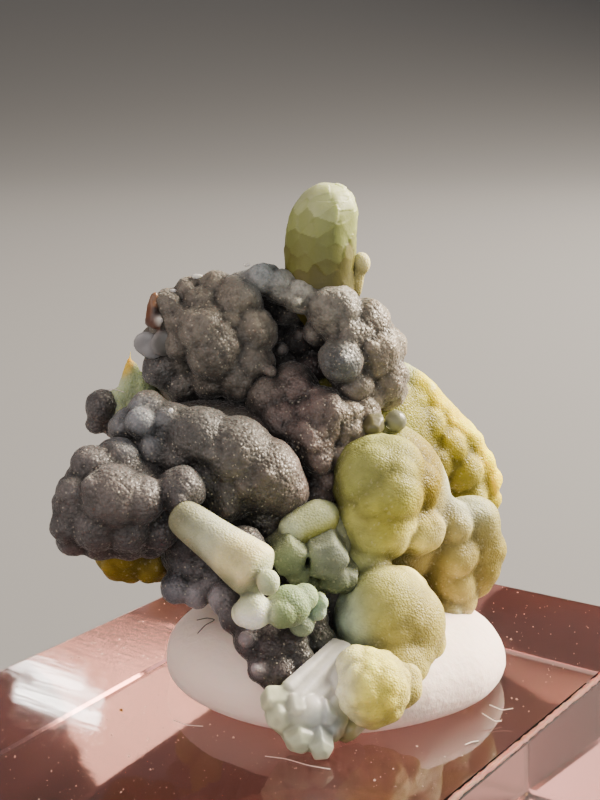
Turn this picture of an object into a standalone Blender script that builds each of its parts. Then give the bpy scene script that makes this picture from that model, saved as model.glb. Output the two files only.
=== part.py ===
"""A thumbnail mineral specimen on a small clear base, in metres, +Z up.

Dark botryoidal plumbogummite crust leans over frosted green pyromorphite. A bullet-shaped crystal
stands on its ridge, and a yellow-green mass closes the back. Putty holds the specimen on the base.
The origin is the centre of the base's underside. X and Y run along the base's sides.
"""

import math

import bmesh
import bpy
import numpy as np

MM = 0.001
BASE_WIDTH = 20.0 * MM
BASE_LENGTH = 30.0 * MM
BASE_HEIGHT = 10.0 * MM
BASE_EDGE = 0.25 * MM

PUTTY_HALF_WIDTH = 6.5
PUTTY_HALF_DEPTH = 5.9
PUTTY_HEIGHT = 2.75
PUTTY_CENTRE = (-0.7, -3.1)
PUTTY_OVER_BASE = 0.05
SOCKET_GAP = 0.22

# The specimen is turned by this much about the upright axis, and stands off the base's centre along Y.
SPECIMEN_TURN = math.radians(34.0)
SPECIMEN_SHIFT = (0.0, 5.0)
# The small bumps fused on each large dome, against the sizes in the rows below.
BUMP_SCALE = 1.30
PLAIN_RADIUS = 0.80
BASE_TOP = 10.0
CELL = 0.16
SPECIMEN_TRIANGLES = 8800

# All rows below are in millimetres: across, depth (away from the front), up, then radius.
# Rounded masses inside, which join the parts that show.
CORE = (
    (-3.6, 1.7, 20.6, 4.4, 2.3, 3.6),
    (-1.6, 1.0, 17.4, 5.4, 2.8, 5.0),
    (3.2, 1.6, 17.2, 1.7, 1.4, 1.9),
    (0.4, -0.3, 22.3, 1.6, 1.7, 1.9),
    (-5.6, -2.4, 18.6, 3.9, 2.7, 2.3),
    (-8.3, -5.2, 17.9, 1.7, 1.9, 1.3),
    (-6.2, -0.6, 22.8, 1.9, 1.6, 1.7),
    (1.3, -2.0, 16.4, 2.6, 2.3, 3.4),
    (1.3, -4.6, 12.8, 1.8, 2.1, 1.7),
    (-2.2, -3.6, 14.2, 2.9, 2.6, 3.0),
    (-5.1, -4.3, 16.0, 1.5, 2.0, 1.7),
    (-1.0, -7.2, 12.0, 1.2, 1.8, 1.1),
    (-1.2, -4.4, 16.4, 1.5, 1.7, 1.3),
)

# Botryoidal crust, with the size of the small bumps on each dome as the last value.
UPPER_LEFT = (
    (-7.2, -1.0, 24.2, 0.75, 0.40),
    (-6.1, -1.6, 23.2, 1.45, 0.50),
    (-6.6, -2.5, 23.5, 0.85, 0.42),
    (-5.4, -2.6, 23.5, 0.95, 0.42),
    (-7.1, -2.0, 22.8, 0.85, 0.45),
    (-5.0, -2.0, 21.8, 0.90, 0.42),
    (-4.7, -1.4, 24.3, 1.25, 0.45),
    (-4.1, -2.2, 22.5, 1.25, 0.45),
    (-5.8, -0.9, 24.6, 0.65, 0.35),
    (-2.9, -2.3, 22.8, 0.45, 0.30),
    (-7.9, -1.4, 22.8, 0.55, 0.50),
    (-6.0, 0.2, 21.2, 1.25, 0.50),
)
UPPER_RIGHT = (
    (-3.4, -1.0, 24.9, 1.10, 0.50),
    (-2.3, -0.6, 24.4, 1.05, 0.45),
    (-0.7, -1.3, 24.0, 1.25, 0.50),
    (0.7, -1.0, 22.9, 1.45, 0.42),
    (1.1, -0.9, 21.7, 1.40, 0.42),
    (-0.3, -2.3, 22.2, 1.15, 0.48),
    (-0.2, -1.9, 23.7, 0.85, 0.42),
    (1.4, -0.8, 20.8, 1.20, 0.40),
    (-1.8, 0.3, 22.8, 0.55, 0.40),
    (-1.0, -0.1, 23.1, 0.60, 0.40),
    (0.0, -1.2, 20.8, 0.85, 0.42),
)
CENTRE = (
    (-2.3, -2.3, 21.2, 0.95, 0.38),
    (-3.2, -2.4, 20.9, 0.95, 0.38),
    (-1.1, -2.8, 20.2, 1.15, 0.40),
    (0.3, -2.3, 20.3, 0.70, 0.35),
    (-1.7, -3.4, 19.5, 0.95, 0.36),
    (-1.4, -3.8, 18.9, 0.60, 0.30),
    (-1.2, -3.3, 18.0, 0.80, 0.34),
    (-1.5, -3.7, 17.3, 0.70, 0.32),
    (-0.3, -2.9, 19.6, 0.75, 0.34),
    (-2.6, -2.9, 20.0, 0.90, 0.38),
)
LOWER_LEFT = (
    (-7.6, -4.9, 20.6, 0.85, 0.60),
    (-8.4, -4.4, 20.3, 0.75, 0.45),
    (-6.4, -4.5, 20.6, 0.90, 0.50),
    (-6.2, -4.9, 19.9, 0.90, 0.50),
    (-5.0, -4.9, 19.8, 1.30, 0.50),
    (-4.1, -4.9, 19.3, 1.40, 0.45),
    (-3.3, -4.9, 18.8, 1.40, 0.42),
    (-4.1, -5.8, 17.9, 0.85, 0.48),
    (-7.5, -4.9, 19.6, 0.85, 0.50),
    (-3.4, -4.8, 16.8, 0.85, 0.50),
)
FAR_LEFT = (
    (-9.8, -7.0, 18.3, 1.15, 0.60),
    (-8.3, -7.4, 18.7, 1.05, 0.55),
    (-9.4, -6.5, 19.0, 0.95, 0.50),
    (-10.0, -7.0, 17.3, 1.00, 0.60),
    (-6.2, -6.4, 18.3, 1.05, 0.55),
    (-7.1, -7.3, 17.9, 0.65, 0.45),
    (-7.9, -6.3, 17.4, 1.00, 0.60),
    (-9.3, -5.5, 19.6, 0.70, 0.45),
    (-9.9, -0.1, 20.0, 0.70, 0.40),
    (-10.0, 0.0, 19.4, 0.50, 0.40),
)
UNDERSIDE = (
    (-6.4, -6.3, 14.4, 0.62, 0.40),
    (-5.6, -6.4, 14.7, 0.60, 0.38),
    (-4.9, -6.7, 14.6, 0.50, 0.36),
    (-5.8, -4.9, 15.4, 1.20, 0.50),
    (-3.7, -6.6, 12.9, 0.60, 0.38),
    (-2.9, -6.3, 12.0, 0.75, 0.40),
    (-2.0, -5.8, 11.9, 0.75, 0.40),
    (-3.2, -7.2, 11.9, 0.60, 0.32),
    (-2.7, -7.9, 11.5, 0.65, 0.32),
    (-4.2, -5.4, 14.0, 1.10, 0.45),
)
# Crust on the back: low patches over the yellow-green mass.
BACK_PATCHES = (
    (-4.6, 3.6, 21.6, 1.60, 0.55),
    (-6.2, 2.9, 19.6, 1.50, 0.55),
    (-2.6, 3.9, 22.5, 1.20, 0.50),
    (-6.4, 1.4, 17.2, 1.40, 0.55),
    (2.6, 2.6, 15.0, 1.30, 0.50),
    (-0.4, 3.7, 20.9, 1.10, 0.45),
)

# Frosted green lobes: smooth balls, each with faint small bumps.
GREEN_LOBES = (
    (1.0, -3.8, 18.0, 1.75, 0.85),
    (2.25, -3.5, 17.7, 1.05, 0.60),
    (0.9, -4.3, 16.6, 1.50, 0.75),
    (2.4, -3.7, 16.1, 1.05, 0.60),
    (0.5, -4.8, 15.4, 0.85, 0.60),
    (1.3, -5.7, 13.3, 1.95, 0.95),
    (1.5, -5.8, 12.3, 1.85, 0.95),
    (0.0, -6.3, 13.3, 0.70, 0.50),
    (4.2, -2.4, 12.8, 0.75, 0.45),
    (1.7, -1.9, 19.8, 0.45, 0.40),
    (3.8, -2.9, 12.5, 0.50, 0.40),
    (0.7, -2.4, 19.5, 0.60, 0.45),
    (0.7, -8.6, 11.95, 1.60, 0.95),
    (-2.1, -9.8, 11.3, 0.78, 0.60),
    (-1.5, -10.7, 11.0, 0.70, 0.60),
    (3.8, -2.4, 15.6, 1.05, 0.60),
    (3.9, -2.4, 14.5, 1.05, 0.60),
    (3.9, -2.3, 13.5, 0.95, 0.60),
    (5.1, -1.4, 15.4, 1.10, 0.60),
    (5.0, -1.4, 14.4, 1.05, 0.60),
    (4.6, -1.4, 13.4, 0.95, 0.60),
    (1.4, -6.9, 11.9, 1.30, 0.90),
    (-8.6, -4.0, 15.3, 1.15, 0.80),
    (-7.0, -3.6, 16.4, 1.30, 0.80),
)
GREEN_BALLS = (
    (-3.65, -9.3, 14.7, 0.76, 0.76),
    (-2.0, -8.8, 14.5, 0.80, 0.76),
    (-2.3, -7.9, 14.8, 0.70, 0.66),
    (-0.8, -7.8, 14.0, 0.38, 0.36),
    (-1.5, -7.2, 13.0, 0.50, 0.50),
    (-3.0, -9.8, 16.1, 0.62, 0.62),
    (-2.7, -7.6, 16.9, 0.50, 0.60),
)
YELLOW_LOBES = (
    (2.9, 2.0, 19.9, 1.20, 0.60),
    (4.0, 2.2, 18.7, 1.30, 0.70),
    (4.9, 2.2, 17.5, 1.25, 0.60),
    (5.2, 2.1, 16.5, 1.10, 0.60),
    (3.6, 2.3, 16.2, 1.45, 0.75),
    (-8.7, 0.9, 21.2, 0.70, 0.50),
    (-8.5, 0.7, 20.0, 1.00, 0.60),
    (-7.4, 0.9, 19.0, 1.50, 0.70),
)
# Flat-faced crystals: the two ends of each, the radius at each end, and the number of its sides.
PRISMS = (
    (-6.5, -7.6, 18.0, -2.9, -9.6, 15.9, 0.80, 0.88, 8),
    (-2.4, -5.0, 17.1, -1.5, -6.9, 17.4, 0.80, 0.90, 6),
    (-2.1, -4.6, 15.9, -2.0, -6.9, 15.6, 0.75, 0.72, 6),
    (-0.7, -4.4, 15.4, -0.6, -6.5, 15.1, 0.78, 0.74, 6),
    (4.5, -1.6, 14.3, 4.6, -1.9, 16.35, 0.95, 1.00, 8),
    (-0.2, -6.9, 12.3, -1.7, -10.4, 11.15, 1.05, 0.78, 6),
    (0.5, -6.8, 12.0, -0.8, -10.1, 11.1, 0.90, 0.76, 6),
    (0.4, -0.6, 24.2, 0.55, -0.6, 26.1, 0.35, 0.36, 6),
    (3.4, 1.6, 18.0, 4.7, 2.8, 19.3, 0.80, 0.60, 6),
    (2.2, 1.8, 19.0, 3.0, 3.2, 20.7, 0.75, 0.60, 6),
    (-7.9, 0.9, 21.0, -9.0, 1.5, 22.1, 0.55, 0.42, 6),
)
FINGER_FOOT = (-1.2, -0.6, 23.2)
FINGER_HEIGHT = 5.75
FINGER_RADIUS = 1.43
FINGER_SIDES = 9
# Lumps and short crystals all over the back, kept under the slope of the right-hand shoulder.
BACK_LUMPS = 100
BACK_CENTRE = (-2.2, 1.0, 17.9)
BACK_RADII = (5.2, 3.1, 5.2)
SHOULDER_SLOPE = 1.2
SHOULDER_LIMIT = 22.0


def ball_template(level):
    """Unit ball as points and triangles."""
    bm = bmesh.new()
    bmesh.ops.create_icosphere(bm, subdivisions=level, radius=1.0)
    points = np.array([v.co[:] for v in bm.verts])
    faces = np.array([[v.index for v in f.verts] for f in bm.faces])
    bm.free()
    return points, faces


SMALL_BALL = ball_template(2)
LARGE_BALL = ball_template(4)


def add_ball(shapes, centre, radii, template):
    """An ellipsoid: the unit ball's points times the radii, moved to the centre."""
    points, faces = template
    shapes.append((points * np.asarray(radii) + np.asarray(centre), faces))


def spread(count):
    """Unit directions spread evenly: height falls in equal steps as the angle grows by 137.5 degrees."""
    i = np.arange(count) + 0.5
    up = 1.0 - 2.0 * i / count
    angle = i * math.pi * (3.0 - math.sqrt(5.0))
    flat = np.sqrt(1.0 - up * up)
    return np.stack([flat * np.cos(angle), flat * np.sin(angle), up], axis=1)


def add_bumpy_ball(shapes, rng, row, grow, height):
    """A ball with smaller balls half sunk in it all round, each a little out of place and size."""
    centre = np.array(row[:3])
    radius = row[3] + grow
    bump = row[4] * BUMP_SCALE
    if row[3] < PLAIN_RADIUS:
        add_ball(shapes, centre, [radius] * 3, LARGE_BALL)
        return
    add_ball(shapes, centre, [radius - 0.18 * bump * height] * 3, LARGE_BALL)
    count = max(int(4.0 * math.pi * radius**2 / (1.25 * bump) ** 2), 6)
    sizes = bump * rng.uniform(0.80, 1.20, count)
    ways = spread(count) + rng.normal(0.0, 0.22 * bump / radius, (count, 3))
    ways /= np.linalg.norm(ways, axis=1, keepdims=True)
    out = radius - sizes * (1.0 - 0.16 * height) + rng.normal(0.0, 0.03, count) * height
    for way, far, size in zip(ways, out, sizes):
        add_ball(shapes, centre + way * far, [size + 0.3 * grow] * 3, SMALL_BALL)


def turned(rows, sides, start, end, spin):
    """Rings of points round the line from start to end, at each row's distance and radius, closed."""
    start = np.array(start)
    axis = np.array(end) - start
    axis = axis / np.linalg.norm(axis)
    side = np.cross(axis, (0.0, 1.0, 0.0) if abs(axis[1]) < 0.9 else (1.0, 0.0, 0.0))
    side /= np.linalg.norm(side)
    other = np.cross(axis, side)
    angle = spin + np.arange(sides) * 2.0 * math.pi / sides
    ring = np.cos(angle)[:, None] * side + np.sin(angle)[:, None] * other
    rows = np.array(rows)
    grid = start + rows[:, None, :1] * axis + rows[:, None, 1:] * ring[None]
    points = np.concatenate([grid.reshape(-1, 3), [start + rows[0, 0] * axis, start + rows[-1, 0] * axis]])
    low = len(points) - 2
    faces = []
    for r in range(len(rows) - 1):
        for s in range(sides):
            a = r * sides + s
            b = r * sides + (s + 1) % sides
            faces += [[a, b, b + sides], [a, b + sides, a + sides]]
    last = (len(rows) - 1) * sides
    for s in range(sides):
        faces.append([low, (s + 1) % sides, s])
        faces.append([low + 1, last + s, last + (s + 1) % sides])
    return points, np.array(faces)


def add_prism(shapes, row, grow, spin):
    """A stubby crystal: straight sides, with a narrow slope before the flat face at each end."""
    start = np.array(row[:3])
    end = np.array(row[3:6])
    first = row[6] + grow
    last = row[7] + grow
    length = float(np.linalg.norm(end - start))
    rows = (
        (-grow, first * 0.80),
        (0.14 * first, first),
        (length - 0.30 * last, last),
        (length - 0.10 * last, last * 0.86),
        (length + grow, last * 0.60),
    )
    shapes.append(turned(rows, int(row[8]), start, end, spin))


def specimen_shapes(grow):
    """All shapes of the specimen, each larger by grow: that larger copy presses the socket in the putty."""
    shapes = []
    rng = np.random.default_rng(11)
    for row in CORE:
        add_ball(shapes, row[:3], np.array(row[3:]) + grow, LARGE_BALL)
    for group in (UPPER_LEFT, UPPER_RIGHT, CENTRE, LOWER_LEFT, FAR_LEFT, UNDERSIDE, BACK_PATCHES):
        for row in group:
            add_bumpy_ball(shapes, rng, row, grow, 1.0)
    for row in GREEN_LOBES + YELLOW_LOBES:
        add_bumpy_ball(shapes, rng, row, grow, 0.35)
    for row in GREEN_BALLS:
        add_ball(shapes, row[:3], np.array([row[3], row[3], row[4]]) + grow, LARGE_BALL)
    for index, row in enumerate(PRISMS):
        add_prism(shapes, row, grow, 0.4 * index)
    rows = (
        (0.0, FINGER_RADIUS * 0.94 + grow),
        (2.6, FINGER_RADIUS + grow),
        (4.2, FINGER_RADIUS * 0.99 + grow),
        (4.95, FINGER_RADIUS * 0.84 + grow),
        (5.45, FINGER_RADIUS * 0.56 + grow),
        (FINGER_HEIGHT + grow, FINGER_RADIUS * 0.22 + grow),
    )
    foot = np.array(FINGER_FOOT)
    shapes.append(turned(rows, FINGER_SIDES, foot, foot + np.array((0.012, -0.01, 1.0)), 0.2))
    for way in spread(BACK_LUMPS):
        middle = np.array(BACK_CENTRE) + way * np.array(BACK_RADII)
        lean = way + rng.normal(0.0, 0.22, 3)
        lean /= np.linalg.norm(lean)
        wide = rng.uniform(0.50, 0.85)
        long = rng.uniform(0.55, 0.95)
        swell = rng.uniform(0.95, 1.30)
        over = middle[2] + SHOULDER_SLOPE * middle[0] - SHOULDER_LIMIT
        if way[1] < 0.15 or way[2] < -0.85 or over > 0.0:
            continue
        add_ball(shapes, middle - 0.35 * way, [swell + grow] * 3, LARGE_BALL)
        if way[1] > 0.35:
            foot = middle + 0.1 * lean
            add_prism(shapes, (*foot, *(foot + lean * long), wide, wide * 0.9, 6), grow, 8.0 * long)
    return shapes


def mesh_of(name, shapes):
    """One mesh of all the shapes, in millimetres, turned as the specimen stands on its base."""
    starts = np.cumsum([0] + [len(points) for points, _ in shapes])
    points = np.concatenate([points for points, _ in shapes])
    faces = np.concatenate([f + start for (_, f), start in zip(shapes, starts)])
    c = math.cos(SPECIMEN_TURN)
    s = math.sin(SPECIMEN_TURN)
    points = points @ np.array([[c, s, 0.0], [-s, c, 0.0], [0.0, 0.0, 1.0]])
    points[:, :2] += SPECIMEN_SHIFT
    mesh = bpy.data.meshes.new(name)
    mesh.from_pydata(points.tolist(), [], faces.tolist())
    return mesh


def add_object(name, mesh):
    obj = bpy.data.objects.new(name, mesh)
    bpy.context.scene.collection.objects.link(obj)
    return obj


def evaluated_mesh(obj):
    """The object's mesh with its modifiers in it."""
    bpy.context.view_layer.update()
    graph = bpy.context.evaluated_depsgraph_get()
    return bpy.data.meshes.new_from_object(obj.evaluated_get(graph))


def largest_body(mesh):
    """Leaves only the largest connected piece of the mesh."""
    bm = bmesh.new()
    bm.from_mesh(mesh)
    left = set(bm.verts)
    bodies = []
    while left:
        front = [left.pop()]
        body = set(front)
        while front:
            near = {e.other_vert(v) for v in front for e in v.link_edges} & left
            left -= near
            body |= near
            front = list(near)
        bodies.append(body)
    bodies.sort(key=len)
    for body in bodies[:-1]:
        bmesh.ops.delete(bm, geom=list(body), context="VERTS")
    bm.to_mesh(mesh)
    bm.free()


def fused(name, shapes, cell, triangles):
    """The shapes joined into one closed skin of about this many triangles, in millimetres."""
    rough = add_object(name + "_shapes", mesh_of(name + "_shapes", shapes))
    skin = rough.modifiers.new("skin", "REMESH")
    skin.mode = "VOXEL"
    skin.voxel_size = cell
    mesh = evaluated_mesh(rough)
    bpy.data.objects.remove(rough)
    largest_body(mesh)
    whole = add_object(name + "_whole", mesh)
    mesh.calc_loop_triangles()
    fewer = whole.modifiers.new("fewer", "DECIMATE")
    fewer.ratio = triangles / len(mesh.loop_triangles)
    fewer.use_collapse_triangulate = True
    plain = evaluated_mesh(whole)
    bpy.data.objects.remove(whole)
    largest_body(plain)
    return plain


def material(name, color, roughness, metallic=0.0):
    made = bpy.data.materials.new(name)
    made.use_nodes = True
    shader = made.node_tree.nodes["Principled BSDF"]
    shader.inputs["Base Color"].default_value = (*color, 1.0)
    shader.inputs["Roughness"].default_value = roughness
    shader.inputs["Metallic"].default_value = metallic
    return made


def putty_mesh():
    """A low round pad: rings that swell at a third of its height, slightly lobed, in millimetres."""
    rows = (
        (0.0, 0.93),
        (0.35, 0.985),
        (0.95, 1.0),
        (1.6, 0.97),
        (2.15, 0.89),
        (2.55, 0.76),
        (PUTTY_HEIGHT, 0.52),
    )
    sides = 48
    start = (0.0, 0.0, BASE_TOP + PUTTY_OVER_BASE)
    points, faces = turned(rows, sides, start, (0.0, 0.0, 20.0), 0.0)
    angle = np.arctan2(points[:, 1], points[:, 0])
    lobed = 1.0 + 0.022 * np.cos(2.0 * angle + 0.6) + 0.018 * np.cos(3.0 * angle - 0.8)
    lobed += 0.010 * np.cos(5.0 * angle + 1.9)
    points[:, 0] = points[:, 0] * PUTTY_HALF_WIDTH * lobed + PUTTY_CENTRE[0]
    points[:, 1] = points[:, 1] * PUTTY_HALF_DEPTH * lobed + PUTTY_CENTRE[1]
    return mesh_of("mounting_putty", [(points, faces)])


def in_metres(mesh):
    """The same mesh with its points scaled from millimetres."""
    points = np.empty(len(mesh.vertices) * 3)
    mesh.vertices.foreach_get("co", points)
    mesh.vertices.foreach_set("co", points * MM)
    mesh.update()
    return mesh


for obj in list(bpy.data.objects):
    bpy.data.objects.remove(obj, do_unlink=True)

# The specimen: every shape fused in one skin.
specimen_mesh = fused("specimen", specimen_shapes(0.0), CELL, SPECIMEN_TRIANGLES)
specimen = add_object("plumbogummite_specimen", in_metres(specimen_mesh))
specimen.data.materials.clear()
specimen.data.materials.append(material("plumbogummite_stone", (0.085, 0.088, 0.070), 0.55))

# The putty: a low pad, with the socket that the specimen pressed in it.
press = add_object("socket_press", fused("press", specimen_shapes(SOCKET_GAP), 0.25, 5200))
press.hide_render = True
press.display_type = "WIRE"
pad = add_object("pad", putty_mesh())
socket = pad.modifiers.new("socket", "BOOLEAN")
socket.operation = "DIFFERENCE"
socket.solver = "EXACT"
socket.object = press
pad_mesh = evaluated_mesh(pad)
bpy.data.objects.remove(pad)
bpy.data.objects.remove(press)
largest_body(pad_mesh)
putty = add_object("mounting_putty", in_metres(pad_mesh))
putty.data.materials.clear()
putty.data.materials.append(material("white_putty", (0.80, 0.74, 0.68), 0.75))

# The base: a clear block with narrow polished edges.
bm = bmesh.new()
bmesh.ops.create_cube(bm, size=1.0)
for vert in bm.verts:
    vert.co.x *= BASE_WIDTH
    vert.co.y *= BASE_LENGTH
    vert.co.z = (vert.co.z + 0.5) * BASE_HEIGHT
base_mesh = bpy.data.meshes.new("acrylic_base")
bm.to_mesh(base_mesh)
bm.free()
base = add_object("acrylic_base", base_mesh)
edge = base.modifiers.new("edge", "BEVEL")
edge.width = BASE_EDGE
edge.segments = 2
base.data.materials.append(material("clear_acrylic", (0.60, 0.42, 0.40), 0.08))
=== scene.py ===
import math

import bpy
import numpy as np
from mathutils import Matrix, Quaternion, Vector


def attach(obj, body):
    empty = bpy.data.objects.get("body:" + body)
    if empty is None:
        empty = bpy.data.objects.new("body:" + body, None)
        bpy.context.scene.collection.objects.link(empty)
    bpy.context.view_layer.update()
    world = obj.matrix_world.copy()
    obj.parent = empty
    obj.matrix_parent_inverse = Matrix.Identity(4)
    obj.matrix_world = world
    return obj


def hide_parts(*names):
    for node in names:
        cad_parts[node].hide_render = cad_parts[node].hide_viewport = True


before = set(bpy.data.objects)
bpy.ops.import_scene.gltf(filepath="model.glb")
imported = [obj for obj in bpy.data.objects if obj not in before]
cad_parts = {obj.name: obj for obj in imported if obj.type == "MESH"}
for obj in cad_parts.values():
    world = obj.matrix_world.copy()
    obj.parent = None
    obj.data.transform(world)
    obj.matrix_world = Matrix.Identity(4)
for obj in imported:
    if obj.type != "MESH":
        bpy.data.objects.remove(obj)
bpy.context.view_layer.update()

# The display base.
# A block of cast acrylic, 20 by 30 by 10 mm, sawn, polished and handled. It stands flat on its
# underside, and the putty sticks to its top.

MM = 0.001
BASE_TOP_MM = 10.0


def linear(code):
    """sRGB hex to linear colour: c / 12.92 near black, ((c + 0.055) / 1.055) to the power 2.4 above."""
    c = np.array([int(code[i:i + 2], 16) / 255.0 for i in (1, 3, 5)])
    c = np.where(c <= 0.04045, c / 12.92, ((c + 0.055) / 1.055) ** 2.4)
    return (*c.tolist(), 1.0)


def add_node(tree, kind, sockets=(), **settings):
    """Adds a node: settings go on the node itself, and its sockets, by name or in their order, each take
    a value, a link or a node whose first output is linked."""
    made = tree.nodes.new("ShaderNode" + kind)
    for name, value in settings.items():
        setattr(made, name, value)
    for key, value in sockets.items() if isinstance(sockets, dict) else enumerate(sockets):
        if isinstance(value, bpy.types.Node):
            value = value.outputs[0]
        if isinstance(value, bpy.types.NodeSocket):
            tree.links.new(value, made.inputs[key])
        else:
            made.inputs[key].default_value = value
    return made


def new_finish(name, **sockets):
    """A material and its main shader; words in the socket names are joined by underscores."""
    made = bpy.data.materials.new(name)
    made.use_nodes = True
    tree = made.node_tree
    shader = tree.nodes["Principled BSDF"]
    for key, value in sockets.items():
        shader.inputs[key.replace("_", " ")].default_value = value
    return made, tree, shader


# Cast acrylic: see-through with a rose cast that deepens with thickness. The polish is worn, so
# reflections are drawn out along scratches, which are drawn far wider than they are so that they show.
acrylic, tree, shader = new_finish(
    "cast_acrylic", Base_Color=linear("#f8ded6"), Roughness=0.04, IOR=1.49, Transmission_Weight=1.0
)
place = add_node(tree, "TexCoord").outputs["Object"]
stretch = add_node(tree, "Mapping", {"Vector": place, "Scale": (1.0, 7.0, 1.0)})
scratches = add_node(tree, "TexNoise", {"Vector": stretch, "Scale": 520.0, "Detail": 6.0})
relief = add_node(tree, "Bump", {"Height": scratches, "Strength": 0.03, "Distance": 0.00004})
tree.links.new(relief.outputs["Normal"], shader.inputs["Normal"])
rose = add_node(tree, "VolumeAbsorption", {"Color": linear("#e6786a"), "Density": 30.0})
tree.links.new(rose.outputs["Volume"], tree.nodes["Material Output"].inputs["Volume"])
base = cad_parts["acrylic_base"]
base.data.materials.clear()
base.data.materials.append(acrylic)

# The putty.
# A pad of white mounting putty, rolled to a ball by hand and pressed flat between stone and base.
# Its rim swells out, and its skin keeps fine creases and lint.

TURN = math.radians(34.0)
SHIFT_MM = np.array([0.0, 5.0, 0.0])


def placed(points):
    """Millimetres as seen by the stone (across, depth, up) to the base's metres: turn, then shift."""
    c, s = math.cos(TURN), math.sin(TURN)
    return (points @ np.array([[c, s, 0.0], [-s, c, 0.0], [0.0, 0.0, 1.0]]) + SHIFT_MM) * MM


def turns(count):
    """Angles spread evenly round a circle."""
    return np.linspace(0.0, 2.0 * math.pi, count, endpoint=False)


def unit(ways):
    """Each row over its own length."""
    return ways / np.linalg.norm(ways, axis=-1, keepdims=True)


def eased(path, count, rounds):
    """The path's points joined at even steps and eased into a curve: each point moves to the mean of
    itself, counted twice, and its two neighbours, this many times."""
    step = np.linspace(0.0, len(path) - 1.0, count)
    line = np.stack([np.interp(step, np.arange(len(path)), column) for column in np.array(path).T], axis=1)
    for _ in range(rounds):
        line[1:-1] = (line[:-2] + 2.0 * line[1:-1] + line[2:]) / 4.0
    return line


def rings(grid):
    """Closes a grid of rings (rows, columns, 3): quads between rings, a fan to a point at each end."""
    rows, columns = grid.shape[:2]
    ends = np.stack([grid[0].mean(axis=0), grid[-1].mean(axis=0)])
    points = np.concatenate([grid.reshape(-1, 3), ends])
    r, c = np.meshgrid(np.arange(rows - 1), np.arange(columns), indexing="ij")
    a = (r * columns + c).ravel()
    b = (r * columns + (c + 1) % columns).ravel()
    quads = np.stack([a, b, b + columns, a + columns], axis=1)
    c = np.arange(columns)
    top = (rows - 1) * columns
    low_fan = np.stack([np.full(columns, rows * columns), (c + 1) % columns, c], axis=1)
    top_fan = np.stack([np.full(columns, rows * columns + 1), top + c, top + (c + 1) % columns], axis=1)
    return points, quads, np.concatenate([low_fan, top_fan])


def joined(shapes):
    """Several ring grids as one set of points, quads and triangles."""
    starts = np.cumsum([0] + [len(s[0]) for s in shapes])
    points = np.concatenate([s[0] for s in shapes])
    quads = np.concatenate([s[1] + n for s, n in zip(shapes, starts)])
    fans = np.concatenate([s[2] + n for s, n in zip(shapes, starts)])
    return points, quads, fans


def linked(name, data):
    """An object of this mesh, lamp or camera, linked to the scene."""
    obj = bpy.data.objects.new(name, data)
    bpy.context.scene.collection.objects.link(obj)
    return obj


def new_mesh(name, points, faces):
    """A mesh object of points and of one or more face arrays."""
    mesh = bpy.data.meshes.new(name)
    mesh.from_pydata(points.tolist(), [], [f for kind in faces for f in kind.tolist()])
    return linked(name, mesh)


def fixed(obj, finish, node):
    """Gives a finished piece its material and fixes it in place of the plain solid."""
    obj.data.materials.append(finish)
    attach(obj, "root")
    if node:
        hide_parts(node)


def cells(points, size, seed):
    """Distance to the nearest of scattered points, one in each cube of this size, in cube sizes."""
    spots = np.random.default_rng(seed).random((4096, 3))
    scaled = points / size
    cube = np.floor(scaled).astype(np.int64)
    best = np.full(len(points), 9.0)
    for step in np.ndindex(3, 3, 3):
        near = cube + np.array(step) - 1
        pick = (near[:, 0] * 73856093 ^ near[:, 1] * 19349663 ^ near[:, 2] * 83492791) % 4096
        best = np.minimum(best, np.linalg.norm(scaled - near - spots[pick], axis=1))
    return best


PUTTY_CENTRE = np.array([-0.7, -3.1])
PUTTY_HALF = np.array([6.5, 5.9])
# Height and reach of the rings, as a bulging side and then in to the middle of the top.
PUTTY_SIDE = (
    (0.0, 0.93), (0.12, 0.955), (0.35, 0.985), (0.65, 0.998), (0.95, 1.0), (1.28, 0.99), (1.6, 0.965),
    (1.9, 0.925), (2.15, 0.87), (2.38, 0.8), (2.55, 0.72), (2.68, 0.62), (2.75, 0.5), (2.78, 0.3),
    (2.78, 0.01),
)
PUTTY_GRID = (90, 240)
up, out = eased(PUTTY_SIDE, PUTTY_GRID[0], 8).T
angle = turns(PUTTY_GRID[1])
lobed = 1.0 + 0.022 * np.cos(2.0 * angle + 0.6) + 0.018 * np.cos(3.0 * angle - 0.8)
lobed += 0.01 * np.cos(5.0 * angle + 1.9)
grid = np.zeros((*PUTTY_GRID, 3))
grid[..., 0] = PUTTY_CENTRE[0] + PUTTY_HALF[0] * out[:, None] * np.cos(angle) * lobed
grid[..., 1] = PUTTY_CENTRE[1] + PUTTY_HALF[1] * out[:, None] * np.sin(angle) * lobed
grid[..., 2] = BASE_TOP_MM + up[:, None]
points, quads, fans = rings(grid)
middle = np.array([*PUTTY_CENTRE, BASE_TOP_MM + 0.6])
away = unit(points - middle)
lift = np.clip((points[:, 2] - BASE_TOP_MM) / 0.4, 0.0, 1.0)
dents = 0.1 * (cells(points, 1.9, 5) - 0.7) + 0.025 * (cells(points * (1.0, 1.0, 2.0), 0.55, 6) - 0.6)
points = points + away * (lift * np.minimum(dents, 0.02))[:, None]
putty = new_mesh("putty_pad", placed(points), (quads, fans))
putty.data.shade_smooth()

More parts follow.
